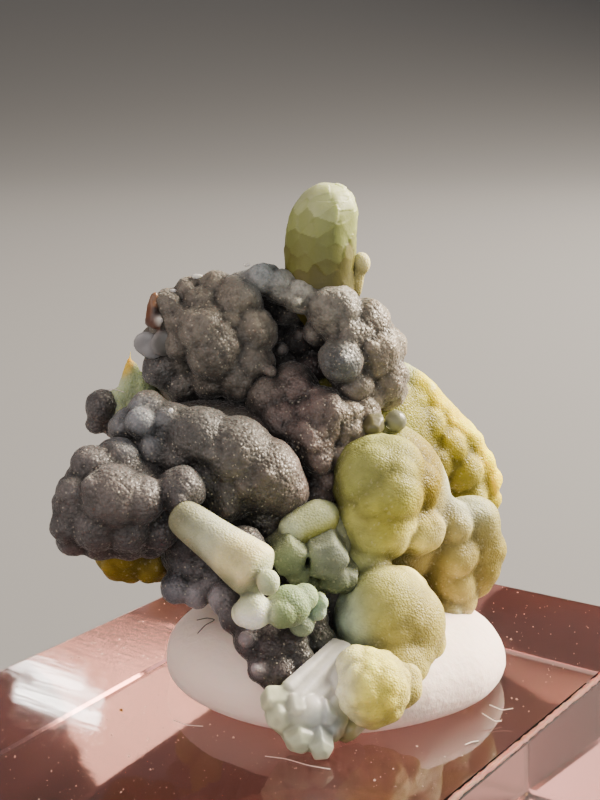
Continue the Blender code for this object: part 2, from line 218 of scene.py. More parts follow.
# Mounting putty: a chalk-filled rubber, matt white, with a slight inner glow and a fibrous skin that
# has picked up dark specks.
chalky, tree, shader = new_finish(
    "mounting_putty", Roughness=0.8, Subsurface_Weight=0.25, Subsurface_Scale=0.0005,
    Sheen_Weight=0.2, Sheen_Roughness=0.6,
)
place = add_node(tree, "TexCoord").outputs["Object"]
specks = add_node(tree, "TexVoronoi", {"Vector": place, "Scale": 2600.0})
speck_spot = add_node(tree, "MapRange", (specks, 0.06, 0.11, 1.0, 0.0))
patches = add_node(tree, "TexNoise", {"Vector": place, "Scale": 420.0, "Detail": 2.0})
where = add_node(tree, "MapRange", (patches, 0.56, 0.68, 0.0, 0.6))
amount = add_node(tree, "Math", (speck_spot, where), operation="MULTIPLY")
# The pale colour has a slight pink cast, painted reflected light.
speckled = add_node(tree, "Mix", {0: amount, 6: linear("#ffe8dc"), 7: linear("#5c524c")}, data_type="RGBA")
tree.links.new(speckled.outputs[2], shader.inputs["Base Color"])
lint = add_node(tree, "TexNoise", {"Vector": place, "Scale": 4200.0, "Detail": 6.0})
relief = add_node(tree, "Bump", {"Height": lint, "Strength": 0.7, "Distance": 0.00005})
tree.links.new(relief.outputs["Normal"], shader.inputs["Normal"])
fixed(putty, chalky, "mounting_putty")

# The dark crust.
# Plumbogummite grown as a botryoidal crust: domes set with low small domes, which are set with
# grains. It leans over the green crystals. Its hollows and creases are painted dark as shade, and its
# rounded tops are painted lighter.

COARSE = 1.0
CREASE_MM = 0.08
rng = np.random.default_rng(21)


def spread(count):
    """Unit directions spread evenly: height falls in equal steps as the angle grows by 137.5 degrees."""
    i = np.arange(count) + 0.5
    z = 1.0 - 2.0 * i / count
    turn = i * math.pi * (3.0 - math.sqrt(5.0))
    flat = np.sqrt(1.0 - z * z)
    return np.stack([flat * np.cos(turn), flat * np.sin(turn), z], axis=1)


def all_round(fine):
    """Unit directions on rows from bottom to top: sine and cosine of two angles."""
    polar = np.linspace(0.0, math.pi, fine + 2)[1:-1, None]
    turn = turns(2 * fine)[None]
    flat, up = np.sin(polar), -np.cos(polar)
    return np.stack([flat * np.cos(turn), flat * np.sin(turn), up + 0.0 * turn], axis=-1)


def dome(row, relief, rng, fine=40):
    """A ball whose reach in each direction is the farthest of a slightly smaller ball and of the points
    where that direction leaves each small ball sunk in it: along + sqrt(size^2 - distance off^2)."""
    centre, radius, bump = np.array(row[:3]), row[3], row[4]
    way = all_round(fine)
    count = max(int(4.0 * math.pi * radius**2 / (1.25 * bump) ** 2), 8)
    size = bump * rng.uniform(0.55, 1.45, count)
    to = unit(spread(count) + rng.normal(0.0, 0.38 * bump / radius, (count, 3)))
    far = np.clip(radius - size + size * relief * rng.uniform(0.4, 1.0, count), 0.05, None)
    along = way @ (to * far[:, None]).T
    under = size**2 - far**2 + along**2
    leaves = np.where((under > 0.0) & (along > 0.0), along + np.sqrt(np.maximum(under, 0.0)), 0.0)
    reach = np.maximum(leaves.max(axis=-1), radius - 0.5 * relief * bump)
    return rings(centre + way * reach[..., None])


def ellipsoid(row, fine=40):
    """Sine and cosine rings stretched by the three radii."""
    return rings(np.array(row[:3]) + all_round(fine) * np.array(row[3:6]))


def fused(name, shapes, cell):
    """The shapes joined in one closed skin, still in millimetres."""
    points, quads, fans = joined(shapes)
    rough = new_mesh(name + "_rough", points, (quads, fans))
    skin = rough.modifiers.new("skin", "REMESH")
    skin.mode = "VOXEL"
    skin.voxel_size = cell
    bpy.context.view_layer.update()
    graph = bpy.context.evaluated_depsgraph_get()
    mesh = bpy.data.meshes.new_from_object(rough.evaluated_get(graph))
    bpy.data.objects.remove(rough)
    mesh.name = name
    return linked(name, mesh)


def averaged(values, edges, rounds):
    """Each point's value moves to the mean of its neighbours', this many times."""
    start = np.concatenate([edges[:, 0], edges[:, 1]])
    end = np.concatenate([edges[:, 1], edges[:, 0]])
    count = np.maximum(np.bincount(start, minlength=len(values)), 1)
    for _ in range(rounds):
        near = values[end]
        values = np.stack([np.bincount(start, column, len(values)) / count for column in near.T], axis=1)
    return values


def gap_to(points, balls):
    """Distance from each point to the nearest ball's surface; the balls are rows of centre and radius."""
    best = np.full(len(points), 99.0)
    for a, d, u, r in balls:
        best = np.minimum(best, np.linalg.norm(points - (a, d, u), axis=1) - r)
    return best


def finish_skin(obj, balls, grains, stains_and_painted_light, seed, soften=2):
    """Softens a skin, raises rounded grains (spacing, height) on it and stores three things at its
    points: crease, how deep a point lies between its neighbours; shut, how much nearer the balls come
    than open air at steps outwards; tint, the stains and painted light and shade (across, depth, up,
    reach, hex) blended by distance."""
    mesh = obj.data
    points = np.empty(len(mesh.vertices) * 3)
    mesh.vertices.foreach_get("co", points)
    normals = np.empty(len(points))
    mesh.vertices.foreach_get("normal", normals)
    edges = np.empty(len(mesh.edges) * 2, np.int64)
    mesh.edges.foreach_get("vertices", edges)
    points, normals, edges = points.reshape(-1, 3), normals.reshape(-1, 3), edges.reshape(-1, 2)
    points = averaged(points, edges, soften)
    broad = unit(averaged(normals, edges, 12))
    rise = np.zeros(len(points))
    for index, (spacing, height) in enumerate(grains):
        near = cells(points, spacing, seed + index)
        rise += height * (np.sqrt(np.clip(1.0 - (near / 0.95) ** 2, 0.0, 1.0)) - 0.6)
    points = points + normals * rise[:, None]
    crease = np.einsum("ij,ij->i", averaged(points, edges, 12) - points, normals) / CREASE_MM
    shut = np.zeros(len(points))
    for out_mm, share in ((0.35, 0.25), (0.8, 0.3), (1.6, 0.25), (2.8, 0.2)):
        open_gap = gap_to(points + broad * out_mm, balls)
        shut += share * np.clip(1.0 - open_gap / out_mm, 0.0, 1.4)
    tint = np.zeros((len(points), 4))
    total = np.zeros(len(points))
    for a, d, u, reach, code in stains_and_painted_light:
        weight = np.exp(-np.sum((points - (a, d, u)) ** 2, axis=1) / reach**2) + 1e-5
        tint += weight[:, None] * np.array(linear(code))
        total += weight
    tint /= total[:, None]
    mesh.vertices.foreach_set("co", placed(points).ravel())
    for label, values in (("crease", np.clip(crease, -1.0, 1.0)), ("shut", shut)):
        mesh.attributes.new(label, "FLOAT", "POINT").data.foreach_set("value", values)
    mesh.attributes.new("tint", "FLOAT_COLOR", "POINT").data.foreach_set("color", tint.ravel())
    mesh.shade_smooth()
    mesh.update()
    return obj


def grown(name, shapes, cell, finish, balls, grains, stains_and_painted_light, seed, soften=2):
    """One piece of the stone: its shapes fused, finished and fixed in place of the plain solid."""
    obj = finish_skin(fused(name, shapes, cell), balls, grains, stains_and_painted_light, seed, soften)
    fixed(obj, finish, "plumbogummite_specimen")


def stained_and_shaded(tree, cloud, maps):
    """The stored tint times a factor for each map: what it reads (crease or shut at the points, or the
    cloud noise), the low and high of that, and the factor at each. The crease and shut factors are
    painted shade in creases and hollows and painted light on rounded tops; the cloud is random tone."""
    level = None
    for source, low, high, at_low, at_high in maps:
        read = cloud
        if source != "cloud":
            read = add_node(tree, "Attribute", attribute_name=source).outputs["Fac"]
        factor = add_node(tree, "MapRange", (read, low, high, at_low, at_high))
        level = add_node(tree, "Math", (level, factor), operation="MULTIPLY") if level else factor
    tint = add_node(tree, "Attribute", attribute_name="tint")
    return add_node(tree, "VectorMath", {0: tint, "Scale": level}, operation="SCALE")


def glittering(tree, shader, color, faces, glints, code, polish):
    """Crystal faces, one to a cell: the few between two levels have this colour mixed in by this share,
    a painted glint, and each cell has its own polish in this range."""
    parts = add_node(tree, "SeparateXYZ", (faces.outputs["Color"],))
    glint = add_node(tree, "MapRange", (parts.outputs["Y"], glints[0], glints[1], 0.0, glints[2]))
    glinting = add_node(tree, "Mix", {0: glint, 6: color, 7: linear(code)}, data_type="RGBA")
    tree.links.new(glinting.outputs[2], shader.inputs["Base Color"])
    dull = add_node(tree, "MapRange", (parts.outputs["X"], 0.0, 1.0, *polish))
    tree.links.new(dull.outputs["Result"], shader.inputs["Roughness"])


# Across, depth and up of each dome, its radius, and the size of the small domes on it, in mm.
UPPER_LEFT = (
    (-5.6, -2.3, 23.45, 1.08, 0.32), (-5.25, -2.4, 22.75, 1.1, 0.32), (-4.4, -1.7, 24.55, 0.92, 0.32),
    (-5.2, -1.4, 24.95, 0.66, 0.34), (-3.8, -1.9, 23.4, 0.9, 0.32), (-3.95, -2.0, 22.3, 0.95, 0.32),
    (-4.4, -2.3, 21.6, 0.82, 0.36), (-7.25, -1.6, 21.8, 0.76, 0.34), (-6.45, -1.7, 21.2, 0.7, 0.34),
    (-7.0, -1.7, 24.3, 0.62, 0.32), (-6.2, -1.3, 24.7, 0.62, 0.32), (-6.95, -1.5, 23.4, 0.8, 0.34),
    (-7.45, -1.4, 22.85, 0.62, 0.3), (-6.6, -1.5, 22.3, 0.88, 0.36), (-5.4, -2.2, 21.6, 0.7, 0.34),
    (-6.55, -2.1, 23.85, 0.6, 0.28), (-6.5, -2.2, 22.95, 0.66, 0.28), (-5.7, -1.8, 24.35, 0.7, 0.3),
    (-4.75, -2.1, 23.95, 0.66, 0.3), (-6.0, 0.2, 21.2, 1.25, 0.5), (-4.6, -1.1, 24.1, 1.15, 0.4),
    (-5.0, -3.05, 22.3, 0.36, 0.22),
)
UPPER_RIGHT = (
    (-3.5, -1.3, 25.28, 0.58, 0.28), (-4.2, -1.2, 25.02, 0.58, 0.3), (-2.72, -1.3, 25.02, 0.62, 0.34),
    (-3.3, -0.6, 24.95, 0.8, 0.36), (-1.9, -1.5, 24.66, 0.66, 0.34), (-2.5, -0.2, 24.3, 0.95, 0.38),
    (-0.66, -1.7, 24.1, 1.02, 0.4), (0.5, -1.4, 23.6, 0.95, 0.38), (-1.3, -1.5, 23.3, 0.54, 0.3),
    (0.75, -1.6, 22.6, 1.08, 0.4), (1.28, -1.4, 21.5, 0.88, 0.36), (0.05, -2.2, 21.4, 0.78, 0.34),
    (1.35, -1.0, 22.6, 0.78, 0.36), (1.45, -0.9, 20.85, 0.72, 0.34), (-0.43, -2.6, 22.4, 0.86, 0.24),
    (-0.1, -1.9, 23.2, 0.92, 0.4), (0.4, -1.2, 21.9, 1.2, 0.42), (0.5, -1.7, 20.9, 0.8, 0.36),
    (-2.05, -0.3, 22.8, 0.58, 0.3), (-3.1, 0.1, 24.1, 0.66, 0.32), (-2.2, 0.5, 23.6, 1.05, 0.38),
    (-2.6, 0.5, 22.4, 1.05, 0.38), (-1.4, 0.4, 22.0, 0.95, 0.38), (-2.9, 0.1, 21.5, 0.95, 0.38),
    (-1.2, -0.2, 23.2, 0.75, 0.34), (-1.6, -0.5, 21.6, 0.55, 0.3),
)
CENTRE = (
    (-2.3, -2.1, 21.2, 0.95, 0.36), (-3.2, -2.4, 20.9, 0.95, 0.36), (-1.1, -2.8, 20.2, 1.15, 0.38),
    (0.3, -2.3, 20.3, 0.75, 0.34), (-1.7, -3.4, 19.5, 0.95, 0.36), (-1.4, -3.8, 18.9, 0.6, 0.3),
    (-1.2, -3.3, 18.0, 0.8, 0.34), (-1.5, -3.7, 17.3, 0.7, 0.32), (-0.3, -2.9, 19.6, 0.8, 0.34),
    (-2.6, -2.9, 20.0, 0.9, 0.36), (-2.2, -3.2, 18.4, 0.85, 0.32), (-0.6, -3.2, 18.8, 0.7, 0.3),
    (-0.2, -2.9, 20.4, 0.55, 0.28), (-2.1, -3.6, 16.6, 0.8, 0.32),
)
LOWER_LEFT = (
    (-5.65, -4.8, 19.85, 1.28, 0.24), (-4.4, -4.8, 19.25, 1.5, 0.24), (-3.4, -4.8, 18.5, 1.48, 0.24),
    (-2.75, -4.8, 17.95, 1.08, 0.24), (-4.7, -5.3, 17.9, 1.0, 0.4), (-7.4, -4.8, 19.4, 0.9, 0.38),
    (-7.6, -4.3, 20.85, 0.72, 0.34), (-6.7, -4.5, 20.35, 0.86, 0.36), (-8.3, -4.4, 20.2, 0.76, 0.36),
    (-3.4, -4.8, 16.8, 0.95, 0.38), (-6.3, -5.0, 19.1, 0.95, 0.38), (-5.6, -5.2, 18.5, 0.95, 0.38),
    (-2.6, -4.4, 16.6, 0.8, 0.36),
)
FAR_LEFT = (
    (-8.65, -7.0, 18.35, 1.16, 0.24), (-7.7, -7.0, 18.25, 0.9, 0.24), (-10.1, -6.9, 18.55, 0.58, 0.3),
    (-10.35, -6.9, 17.25, 0.6, 0.3), (-9.3, -7.0, 17.25, 0.86, 0.36), (-8.15, -6.8, 17.05, 0.8, 0.36),
    (-6.25, -6.5, 18.45, 0.88, 0.38), (-6.4, -6.1, 17.4, 0.76, 0.34), (-9.5, -6.2, 19.25, 0.76, 0.36),
    (-7.1, -6.3, 16.9, 0.74, 0.34), (-9.2, -6.4, 16.45, 0.66, 0.32), (-8.2, -6.4, 16.45, 0.68, 0.32),
    (-7.4, -5.9, 16.35, 0.64, 0.32), (-10.2, -6.5, 16.6, 0.6, 0.3), (-10.0, -6.6, 17.95, 0.85, 0.36),
    (-7.8, -5.9, 17.6, 1.05, 0.4), (-9.6, -5.8, 18.4, 1.0, 0.4), (-8.6, -5.6, 19.3, 0.85, 0.38),
    (-9.88, -0.1, 20.05, 0.66, 0.3), (-10.1, 0.0, 19.3, 0.44, 0.24), (-9.7, 0.2, 19.55, 0.56, 0.28),
    (-9.3, 0.3, 19.2, 0.6, 0.28),
)
UNDERSIDE = (
    (-6.55, -6.0, 14.55, 0.58, 0.32), (-5.8, -6.1, 14.4, 0.54, 0.32), (-5.1, -6.0, 14.7, 0.64, 0.32),
    (-5.9, -5.0, 15.5, 1.2, 0.42), (-4.7, -6.8, 14.45, 0.62, 0.3), (-4.3, -7.3, 13.9, 0.58, 0.28),
    (-3.77, -7.9, 13.25, 0.62, 0.28), (-3.06, -8.1, 13.1, 0.68, 0.28), (-2.35, -7.9, 13.2, 0.62, 0.28),
    (-3.34, -8.5, 12.45, 0.54, 0.26), (-2.7, -8.5, 12.35, 0.56, 0.26), (-2.0, -8.1, 12.7, 0.5, 0.26),
    (-1.3, -7.1, 12.9, 0.62, 0.28), (-3.0, -8.7, 11.98, 0.36, 0.2), (-2.5, -7.3, 12.6, 0.92, 0.32),
    (-3.4, -7.0, 13.3, 0.95, 0.32), (-4.2, -5.6, 14.6, 1.15, 0.4), (-3.0, -6.1, 13.8, 1.1, 0.4),
    (-1.8, -6.6, 13.6, 0.85, 0.34), (-6.2, -5.4, 16.4, 0.9, 0.36), (-4.0, -6.6, 16.3, 0.8, 0.34),
)
BACK_PATCHES = (
    (-4.6, 3.6, 21.6, 1.6, 0.5), (-6.2, 2.9, 19.6, 1.5, 0.5), (-2.6, 3.9, 22.5, 1.2, 0.45),
    (-6.4, 1.4, 17.2, 1.4, 0.5), (2.6, 2.6, 15.0, 1.3, 0.45), (-0.4, 3.7, 20.9, 1.1, 0.42),
    (-3.9, 2.5, 23.2, 1.2, 0.45), (-1.3, 2.4, 22.9, 1.0, 0.4), (-5.6, 2.1, 22.5, 1.15, 0.45),
    (0.6, 2.0, 22.0, 0.9, 0.4),
)
# Smooth glassy beads that sit half sunk in the crust: across, depth, up, radius.
BEADS = (
    (-2.0, -0.85, 23.05, 0.3), (-2.73, -1.6, 22.62, 0.31), (-7.8, -5.2, 20.62, 0.56),
    (-6.85, -5.05, 20.72, 0.42), (-6.32, -5.2, 20.48, 0.4), (-3.9, -8.6, 13.62, 0.3),
    (-3.58, -9.05, 12.72, 0.19), (-2.15, -2.3, 24.55, 0.2), (-0.3, -2.55, 23.85, 0.26),
    (0.7, -2.6, 22.9, 0.28), (-0.45, -3.4, 22.55, 0.3), (-5.0, -3.2, 23.1, 0.26), (-6.2, -3.05, 23.5, 0.24),
    (-4.0, -6.1, 18.4, 0.34), (-5.2, -6.0, 19.6, 0.28), (-9.35, -7.6, 18.95, 0.34), (-8.0, -7.5, 18.9, 0.3),
    (-7.3, -2.25, 22.0, 0.26), (-3.1, -2.8, 22.0, 0.24), (-1.6, -4.3, 19.5, 0.24),
    (-3.2, -6.15, 18.9, 0.26), (-4.6, -6.2, 17.6, 0.34), (-6.3, -7.3, 18.3, 0.3),
)
UPPER_CORE = (
    (-3.8, 1.0, 20.8, 4.0, 1.8, 3.3), (0.3, -0.2, 22.3, 1.6, 1.6, 1.9), (-5.5, -0.7, 22.8, 2.0, 2.0, 1.7),
)
LOWER_CORE = ((-5.4, -2.4, 18.6, 3.5, 2.6, 2.2), (-8.5, -5.4, 17.9, 2.0, 2.1, 1.62))
UNDER_CORE = ((-2.2, -3.6, 14.2, 2.9, 2.6, 3.0), (-5.1, -4.3, 16.0, 1.5, 2.0, 1.7))
CRUST_ROWS = UPPER_LEFT + UPPER_RIGHT + CENTRE + LOWER_LEFT + FAR_LEFT + UNDERSIDE + BACK_PATCHES
CRUST_BALLS = [row[:4] for row in CRUST_ROWS]
CRUST_BALLS += [(*row[:3], min(row[3:])) for row in UPPER_CORE + LOWER_CORE + UNDER_CORE]
# Grey where the skin is thin, with blue at the tops; brown and purple where it thickens. The
# near-black stains, in the hollows, in the cavity low at the front and under the mint crystal, are
# painted shade.
CRUST_STAINS_AND_SHADE = (
    (-6.0, -3.0, 23.5, 1.6, "#504c45"), (-4.3, -2.4, 24.6, 1.2, "#565147"),
    (-4.6, -3.2, 22.0, 1.4, "#46423c"), (-3.4, -1.8, 25.6, 0.8, "#676e71"),
    (-2.2, -2.0, 25.1, 0.7, "#76776f"), (-0.8, -2.6, 24.4, 1.2, "#504e47"),
    (-2.5, -0.8, 23.9, 0.8, "#42403e"), (1.2, -2.0, 22.6, 1.6, "#575044"),
    (-0.4, -3.4, 22.4, 0.8, "#3f4548"), (-2.0, -0.4, 22.8, 1.4, "#454342"),
    (-1.6, -0.9, 21.6, 0.9, "#33292b"), (-2.0, -3.4, 20.6, 1.2, "#4f4340"),
    (-1.6, -4.0, 18.9, 1.4, "#4a3f3b"), (-0.2, -3.4, 19.8, 0.9, "#5d5546"),
    (-5.0, -5.8, 20.2, 1.6, "#3b3a38"), (-3.4, -6.2, 19.0, 1.4, "#453f37"),
    (-5.2, -6.0, 18.4, 1.0, "#2b2a28"), (-7.7, -5.8, 20.8, 0.7, "#5f6266"),
    (-9.3, -7.8, 18.6, 1.6, "#403d3c"), (-8.3, -8.4, 18.9, 0.8, "#655d58"),
    (-6.2, -7.2, 18.5, 0.9, "#3a3737"), (-9.0, -7.4, 16.5, 1.4, "#302d2e"),
    (-5.8, -5.5, 15.4, 1.8, "#242224"), (-6.6, -6.4, 14.5, 0.6, "#3d4148"),
    (-5.7, -6.6, 14.6, 0.8, "#7c787c"), (-3.2, -8.6, 13.0, 1.3, "#282222"),
    (-3.9, -8.9, 13.6, 0.4, "#7b7478"), (-3.6, -9.2, 12.7, 0.3, "#8a8488"),
    (-1.6, -7.8, 13.0, 0.8, "#22231b"), (-3.0, 3.5, 21.0, 2.6, "#4d4943"),
    (-9.9, -0.4, 20.0, 0.9, "#3a3838"), (-4.2, -6.2, 16.4, 1.4, "#161516"),
    (2.6, 3.4, 15.0, 1.8, "#474239"), (-7.6, -2.2, 22.0, 0.8, "#3a3a3b"),
)

# Plumbogummite: a hydrous lead phosphate grown as gum-like botryoids. Its waxy skin is slightly
# see-through and set with crystal faces far under 0.1 mm, which glint one by one.
crust_finish, tree, shader = new_finish(
    "plumbogummite_crust", IOR=1.65, Subsurface_Weight=0.1, Subsurface_Scale=0.00025,
    Sheen_Weight=0.14, Sheen_Roughness=0.4, Specular_IOR_Level=0.38,
)
place = add_node(tree, "TexCoord").outputs["Object"]
cloud = add_node(tree, "TexNoise", {"Vector": place, "Scale": 900.0, "Detail": 6.0})
# Painted shade and light: the tint is darkened in creases and where neighbouring domes close in, and lightened
# on rounded tops; the cloud varies it at random.
shaded = stained_and_shaded(tree, cloud, (
    ("crease", -0.35, 0.42, 1.5, 0.24), ("shut", 0.2, 0.9, 1.26, 0.14), ("cloud", 0.3, 0.7, 0.65, 1.35),
))
# Crystal faces, drawn about 0.05 mm across so that they show: each leans its own way and has its own
# polish, and one in sixty has pale gold mixed into its colour as a painted glint.
faces = add_node(tree, "TexVoronoi", {"Vector": place, "Scale": 18000.0})
glittering(tree, shader, shaded, faces, (0.978, 0.988, 0.36), "#cfc6b0", (0.3, 0.8))
lean = add_node(tree, "VectorMath", {0: faces.outputs["Color"], 1: (0.5, 0.5, 0.5)}, operation="SUBTRACT")
less = add_node(tree, "VectorMath", {0: lean, "Scale": 0.42}, operation="SCALE")
upright = add_node(tree, "NewGeometry")
leaning = add_node(tree, "VectorMath", (upright.outputs["Normal"], less), operation="ADD")
straight = add_node(tree, "VectorMath", (leaning,), operation="NORMALIZE")
grain = add_node(tree, "TexVoronoi", {"Vector": place, "Scale": 7000.0})
relief = add_node(
    tree, "Bump", {"Height": grain, "Strength": 0.8, "Distance": 0.00005, "Normal": straight}, invert=True
)
tree.links.new(relief.outputs["Normal"], shader.inputs["Normal"])

for name, rows, cell, stand, soft, beads, cores, seed in (
    ("crust_upper_left", UPPER_LEFT, 0.07, 0.32, 5, BEADS[11:13] + BEADS[17:19], UPPER_CORE[2:], 31),
    ("crust_upper_right", UPPER_RIGHT, 0.076, 0.26, 4, BEADS[:2] + BEADS[7:11], UPPER_CORE[:2], 35),
    ("crust_centre", CENTRE, 0.07, 0.32, 4, BEADS[19:20], (), 41),
    (
        "crust_lower_left", LOWER_LEFT, 0.074, 0.18, 8, BEADS[2:5] + BEADS[13:15] + BEADS[20:22],
        LOWER_CORE[:1], 45,
    ),
    ("crust_far_left", FAR_LEFT, 0.07, 0.16, 10, BEADS[15:17] + BEADS[22:], LOWER_CORE[1:], 51),
    ("crust_underside", UNDERSIDE, 0.086, 0.18, 4, BEADS[5:7], UNDER_CORE, 55),
    ("crust_back", BACK_PATCHES, 0.11, 0.5, 3, (), (), 61),
):
    shapes = [dome(row, stand, rng) for row in rows] + [ellipsoid(row) for row in cores]
    shapes += [ellipsoid((*bead, bead[3], bead[3])) for bead in beads]
    grown(
        name, shapes, cell * COARSE, crust_finish, CRUST_BALLS, ((0.27, 0.036), (0.15, 0.034)),
        CRUST_STAINS_AND_SHADE, seed, soft,
    )

# The frosted green lobes.
# Pyromorphite in rounded bundles on the right and below. Each lobe is a sheaf of tiny crystals, so
# its skin is a fine even frost over olive green.


def can(fine_side, fine_end, columns, wide, half):
    """Directions aimed at points spaced evenly along a can (wide by half) set round a crystal."""
    in_out = np.linspace(0.06, 1.0, fine_end)
    side = np.linspace(-half, half, fine_side)
    r = np.concatenate([in_out * wide, np.full(fine_side, wide), in_out[::-1] * wide])
    z = np.concatenate([np.full(fine_end, -half), side, np.full(fine_end, half)])
    turn = turns(columns)
    r, z = r[:, None], z[:, None]
    return unit(np.stack([r * np.cos(turn), r * np.sin(turn), z + 0.0 * turn], axis=-1))


def cut_body(centre, way, touch, normals, worn):
    """A body cut flat all round: in each direction the least of (touch - centre).n / (way.n) over the
    cuts that face that way, blended over a short range (1 / worn) so that the edges are worn."""
    far = np.einsum("ij,ij->i", touch - centre, normals)
    facing = way @ normals.T
    reach = np.where(facing > 0.02, far / np.maximum(facing, 0.02), 60.0)
    least = reach.min(axis=-1, keepdims=True)
    blend = np.exp(-worn * np.minimum(reach - least, 20.0)).sum(axis=-1)
    return rings(centre + way * (least[..., 0] - np.log(blend) / worn)[..., None])


def crystal(row, rng, worn=16.0, point=0.35, uneven=0.05):
    """A six- to nine-sided crystal between two ends: one cut for each side, leaning by the taper, a
    ring of sloping cuts and a flat one at each end. Point is how long the slope is, in radii."""
    start, end, wide, narrow, sides = np.array(row[:3]), np.array(row[3:6]), row[6], row[7], int(row[8])
    length = float(np.linalg.norm(end - start))
    axis = (end - start) / length
    side = np.cross(axis, (0.0, 1.0, 0.0) if abs(axis[1]) < 0.9 else (1.0, 0.0, 0.0))
    side /= np.linalg.norm(side)
    across = np.cross(axis, side)
    turn = rng.uniform(0.0, 2.0) + np.arange(sides) * 2.0 * math.pi / sides + rng.normal(0.0, 0.06, sides)
    ring = np.cos(turn)[:, None] * side + np.sin(turn)[:, None] * across
    size = 1.0 + rng.normal(0.0, uneven, (sides, 1))
    slope = point / 0.5
    touch = np.concatenate([
        start + ring * wide * size, end + ring * narrow * 0.62 * size, start + ring * wide * 0.7 * size,
        [end, start],
    ])
    tilt = ring + axis * (wide - narrow) / length
    upper = ring * slope + axis * (1.0 + rng.normal(0.0, 0.12, (sides, 1)))
    normals = unit(np.concatenate([tilt, upper, ring * slope - axis, [axis, -axis]]))
    touch[sides:2 * sides] -= axis * 0.25 * point * narrow
    way = can(44, 14, 60, max(wide, narrow), length / 2.0) @ np.array([side, across, axis])
    return cut_body((start + end) / 2.0, way, touch, normals, worn)


GREEN_LOBES = (
    (1.0, -3.8, 18.0, 1.75, 0.95), (2.25, -3.5, 17.7, 1.05, 0.6), (0.9, -4.3, 16.6, 1.5, 0.85),
    (2.4, -3.7, 16.1, 1.05, 0.6), (0.5, -4.8, 15.4, 0.85, 0.6), (1.3, -5.7, 13.3, 1.95, 1.15),
    (1.5, -5.8, 12.3, 1.85, 1.1), (0.0, -6.3, 13.3, 0.7, 0.5), (4.2, -2.4, 12.8, 0.75, 0.45),
    (3.8, -2.9, 12.5, 0.5, 0.4), (0.7, -2.4, 19.5, 0.6, 0.45), (3.8, -2.5, 15.9, 0.95, 0.6),
    (3.9, -2.5, 14.7, 1.0, 0.6), (3.9, -2.4, 13.5, 0.95, 0.6), (5.0, -1.5, 14.6, 1.1, 0.7),
    (4.7, -1.5, 13.5, 1.0, 0.6), (1.2, -4.6, 17.6, 1.3, 0.9), (1.4, -6.9, 11.9, 1.3, 0.9),
)
GREEN_CORE = ((1.3, -2.0, 16.4, 2.6, 2.3, 3.4), (1.3, -4.6, 12.8, 1.8, 2.1, 1.7))
OLIVE_LOBES = ((-8.6, -4.0, 15.3, 1.15, 0.7), (-7.0, -3.6, 16.4, 1.3, 0.8), (-7.6, -4.2, 15.0, 0.8, 0.5))
GREEN_STAINS = (
    (0.6, -5.4, 18.8, 1.3, "#8c9053"), (1.6, -5.2, 18.6, 0.9, "#8c8946"), (2.6, -4.4, 17.9, 1.0, "#7a6a10"),
    (1.3, -6.0, 16.8, 1.1, "#989232"), (1.9, -5.0, 15.9, 0.9, "#d2c878"), (0.0, -5.8, 16.4, 0.8, "#a5a55f"),
    (0.2, -5.6, 15.4, 0.9, "#9ea36f"), (-0.6, -7.0, 13.6, 1.0, "#b9cbb4"),
    (0.9, -7.5, 14.4, 1.0, "#9d9a54"), (1.9, -7.4, 13.2, 1.2, "#9a904e"), (2.6, -6.4, 11.8, 1.2, "#8c843f"),
    (3.6, -3.3, 15.9, 1.0, "#968e5c"), (3.9, -3.3, 14.2, 1.4, "#998c50"), (5.2, -2.4, 14.4, 1.3, "#7a6e30"),
    (5.0, -2.0, 15.8, 0.9, "#8c8752"), (4.6, -2.6, 16.8, 0.7, "#acb39c"), (3.9, -3.2, 12.4, 0.5, "#757864"),
)
OLIVE_STAINS = ((-8.6, -4.6, 15.2, 1.6, "#6f5f16"), (-8.0, -4.8, 16.0, 0.8, "#4a4218"))

# Frosted pyromorphite: light enters, scatters among the fibres and comes out warm, so lobes glow at
# their thin edges and deepen in the creases; the colour is also painted lighter on rounded tops and
# darker in creases and shut hollows, as painted light and shade. Crystal ends, drawn 0.1 mm across so
# that they show, keep the gloss low.
frosted, tree, shader = new_finish(
    "frosted_pyromorphite", IOR=1.55, Subsurface_Weight=0.6, Subsurface_Scale=0.0003,
    Subsurface_Radius=(1.0, 0.9, 0.4), Specular_IOR_Level=0.18,
)
place = add_node(tree, "TexCoord").outputs["Object"]
cloud = add_node(tree, "TexNoise", {"Vector": place, "Scale": 1100.0, "Detail": 6.0})
shaded = stained_and_shaded(tree, cloud, (
    ("shut", 0.25, 1.0, 1.08, 0.35), ("crease", -0.3, 0.3, 1.25, 0.62), ("cloud", 0.3, 0.7, 0.82, 1.18),
))
# One crystal end in twenty has a pale glint painted into its colour.
grain = add_node(tree, "TexVoronoi", {"Vector": place, "Scale": 12000.0})
glittering(tree, shader, shaded, grain, (0.93, 0.97, 0.14), "#efe8c4", (0.34, 0.75))
relief = add_node(tree, "Bump", {"Height": grain, "Strength": 0.8, "Distance": 0.00004}, invert=True)
tree.links.new(relief.outputs["Normal"], shader.inputs["Normal"])

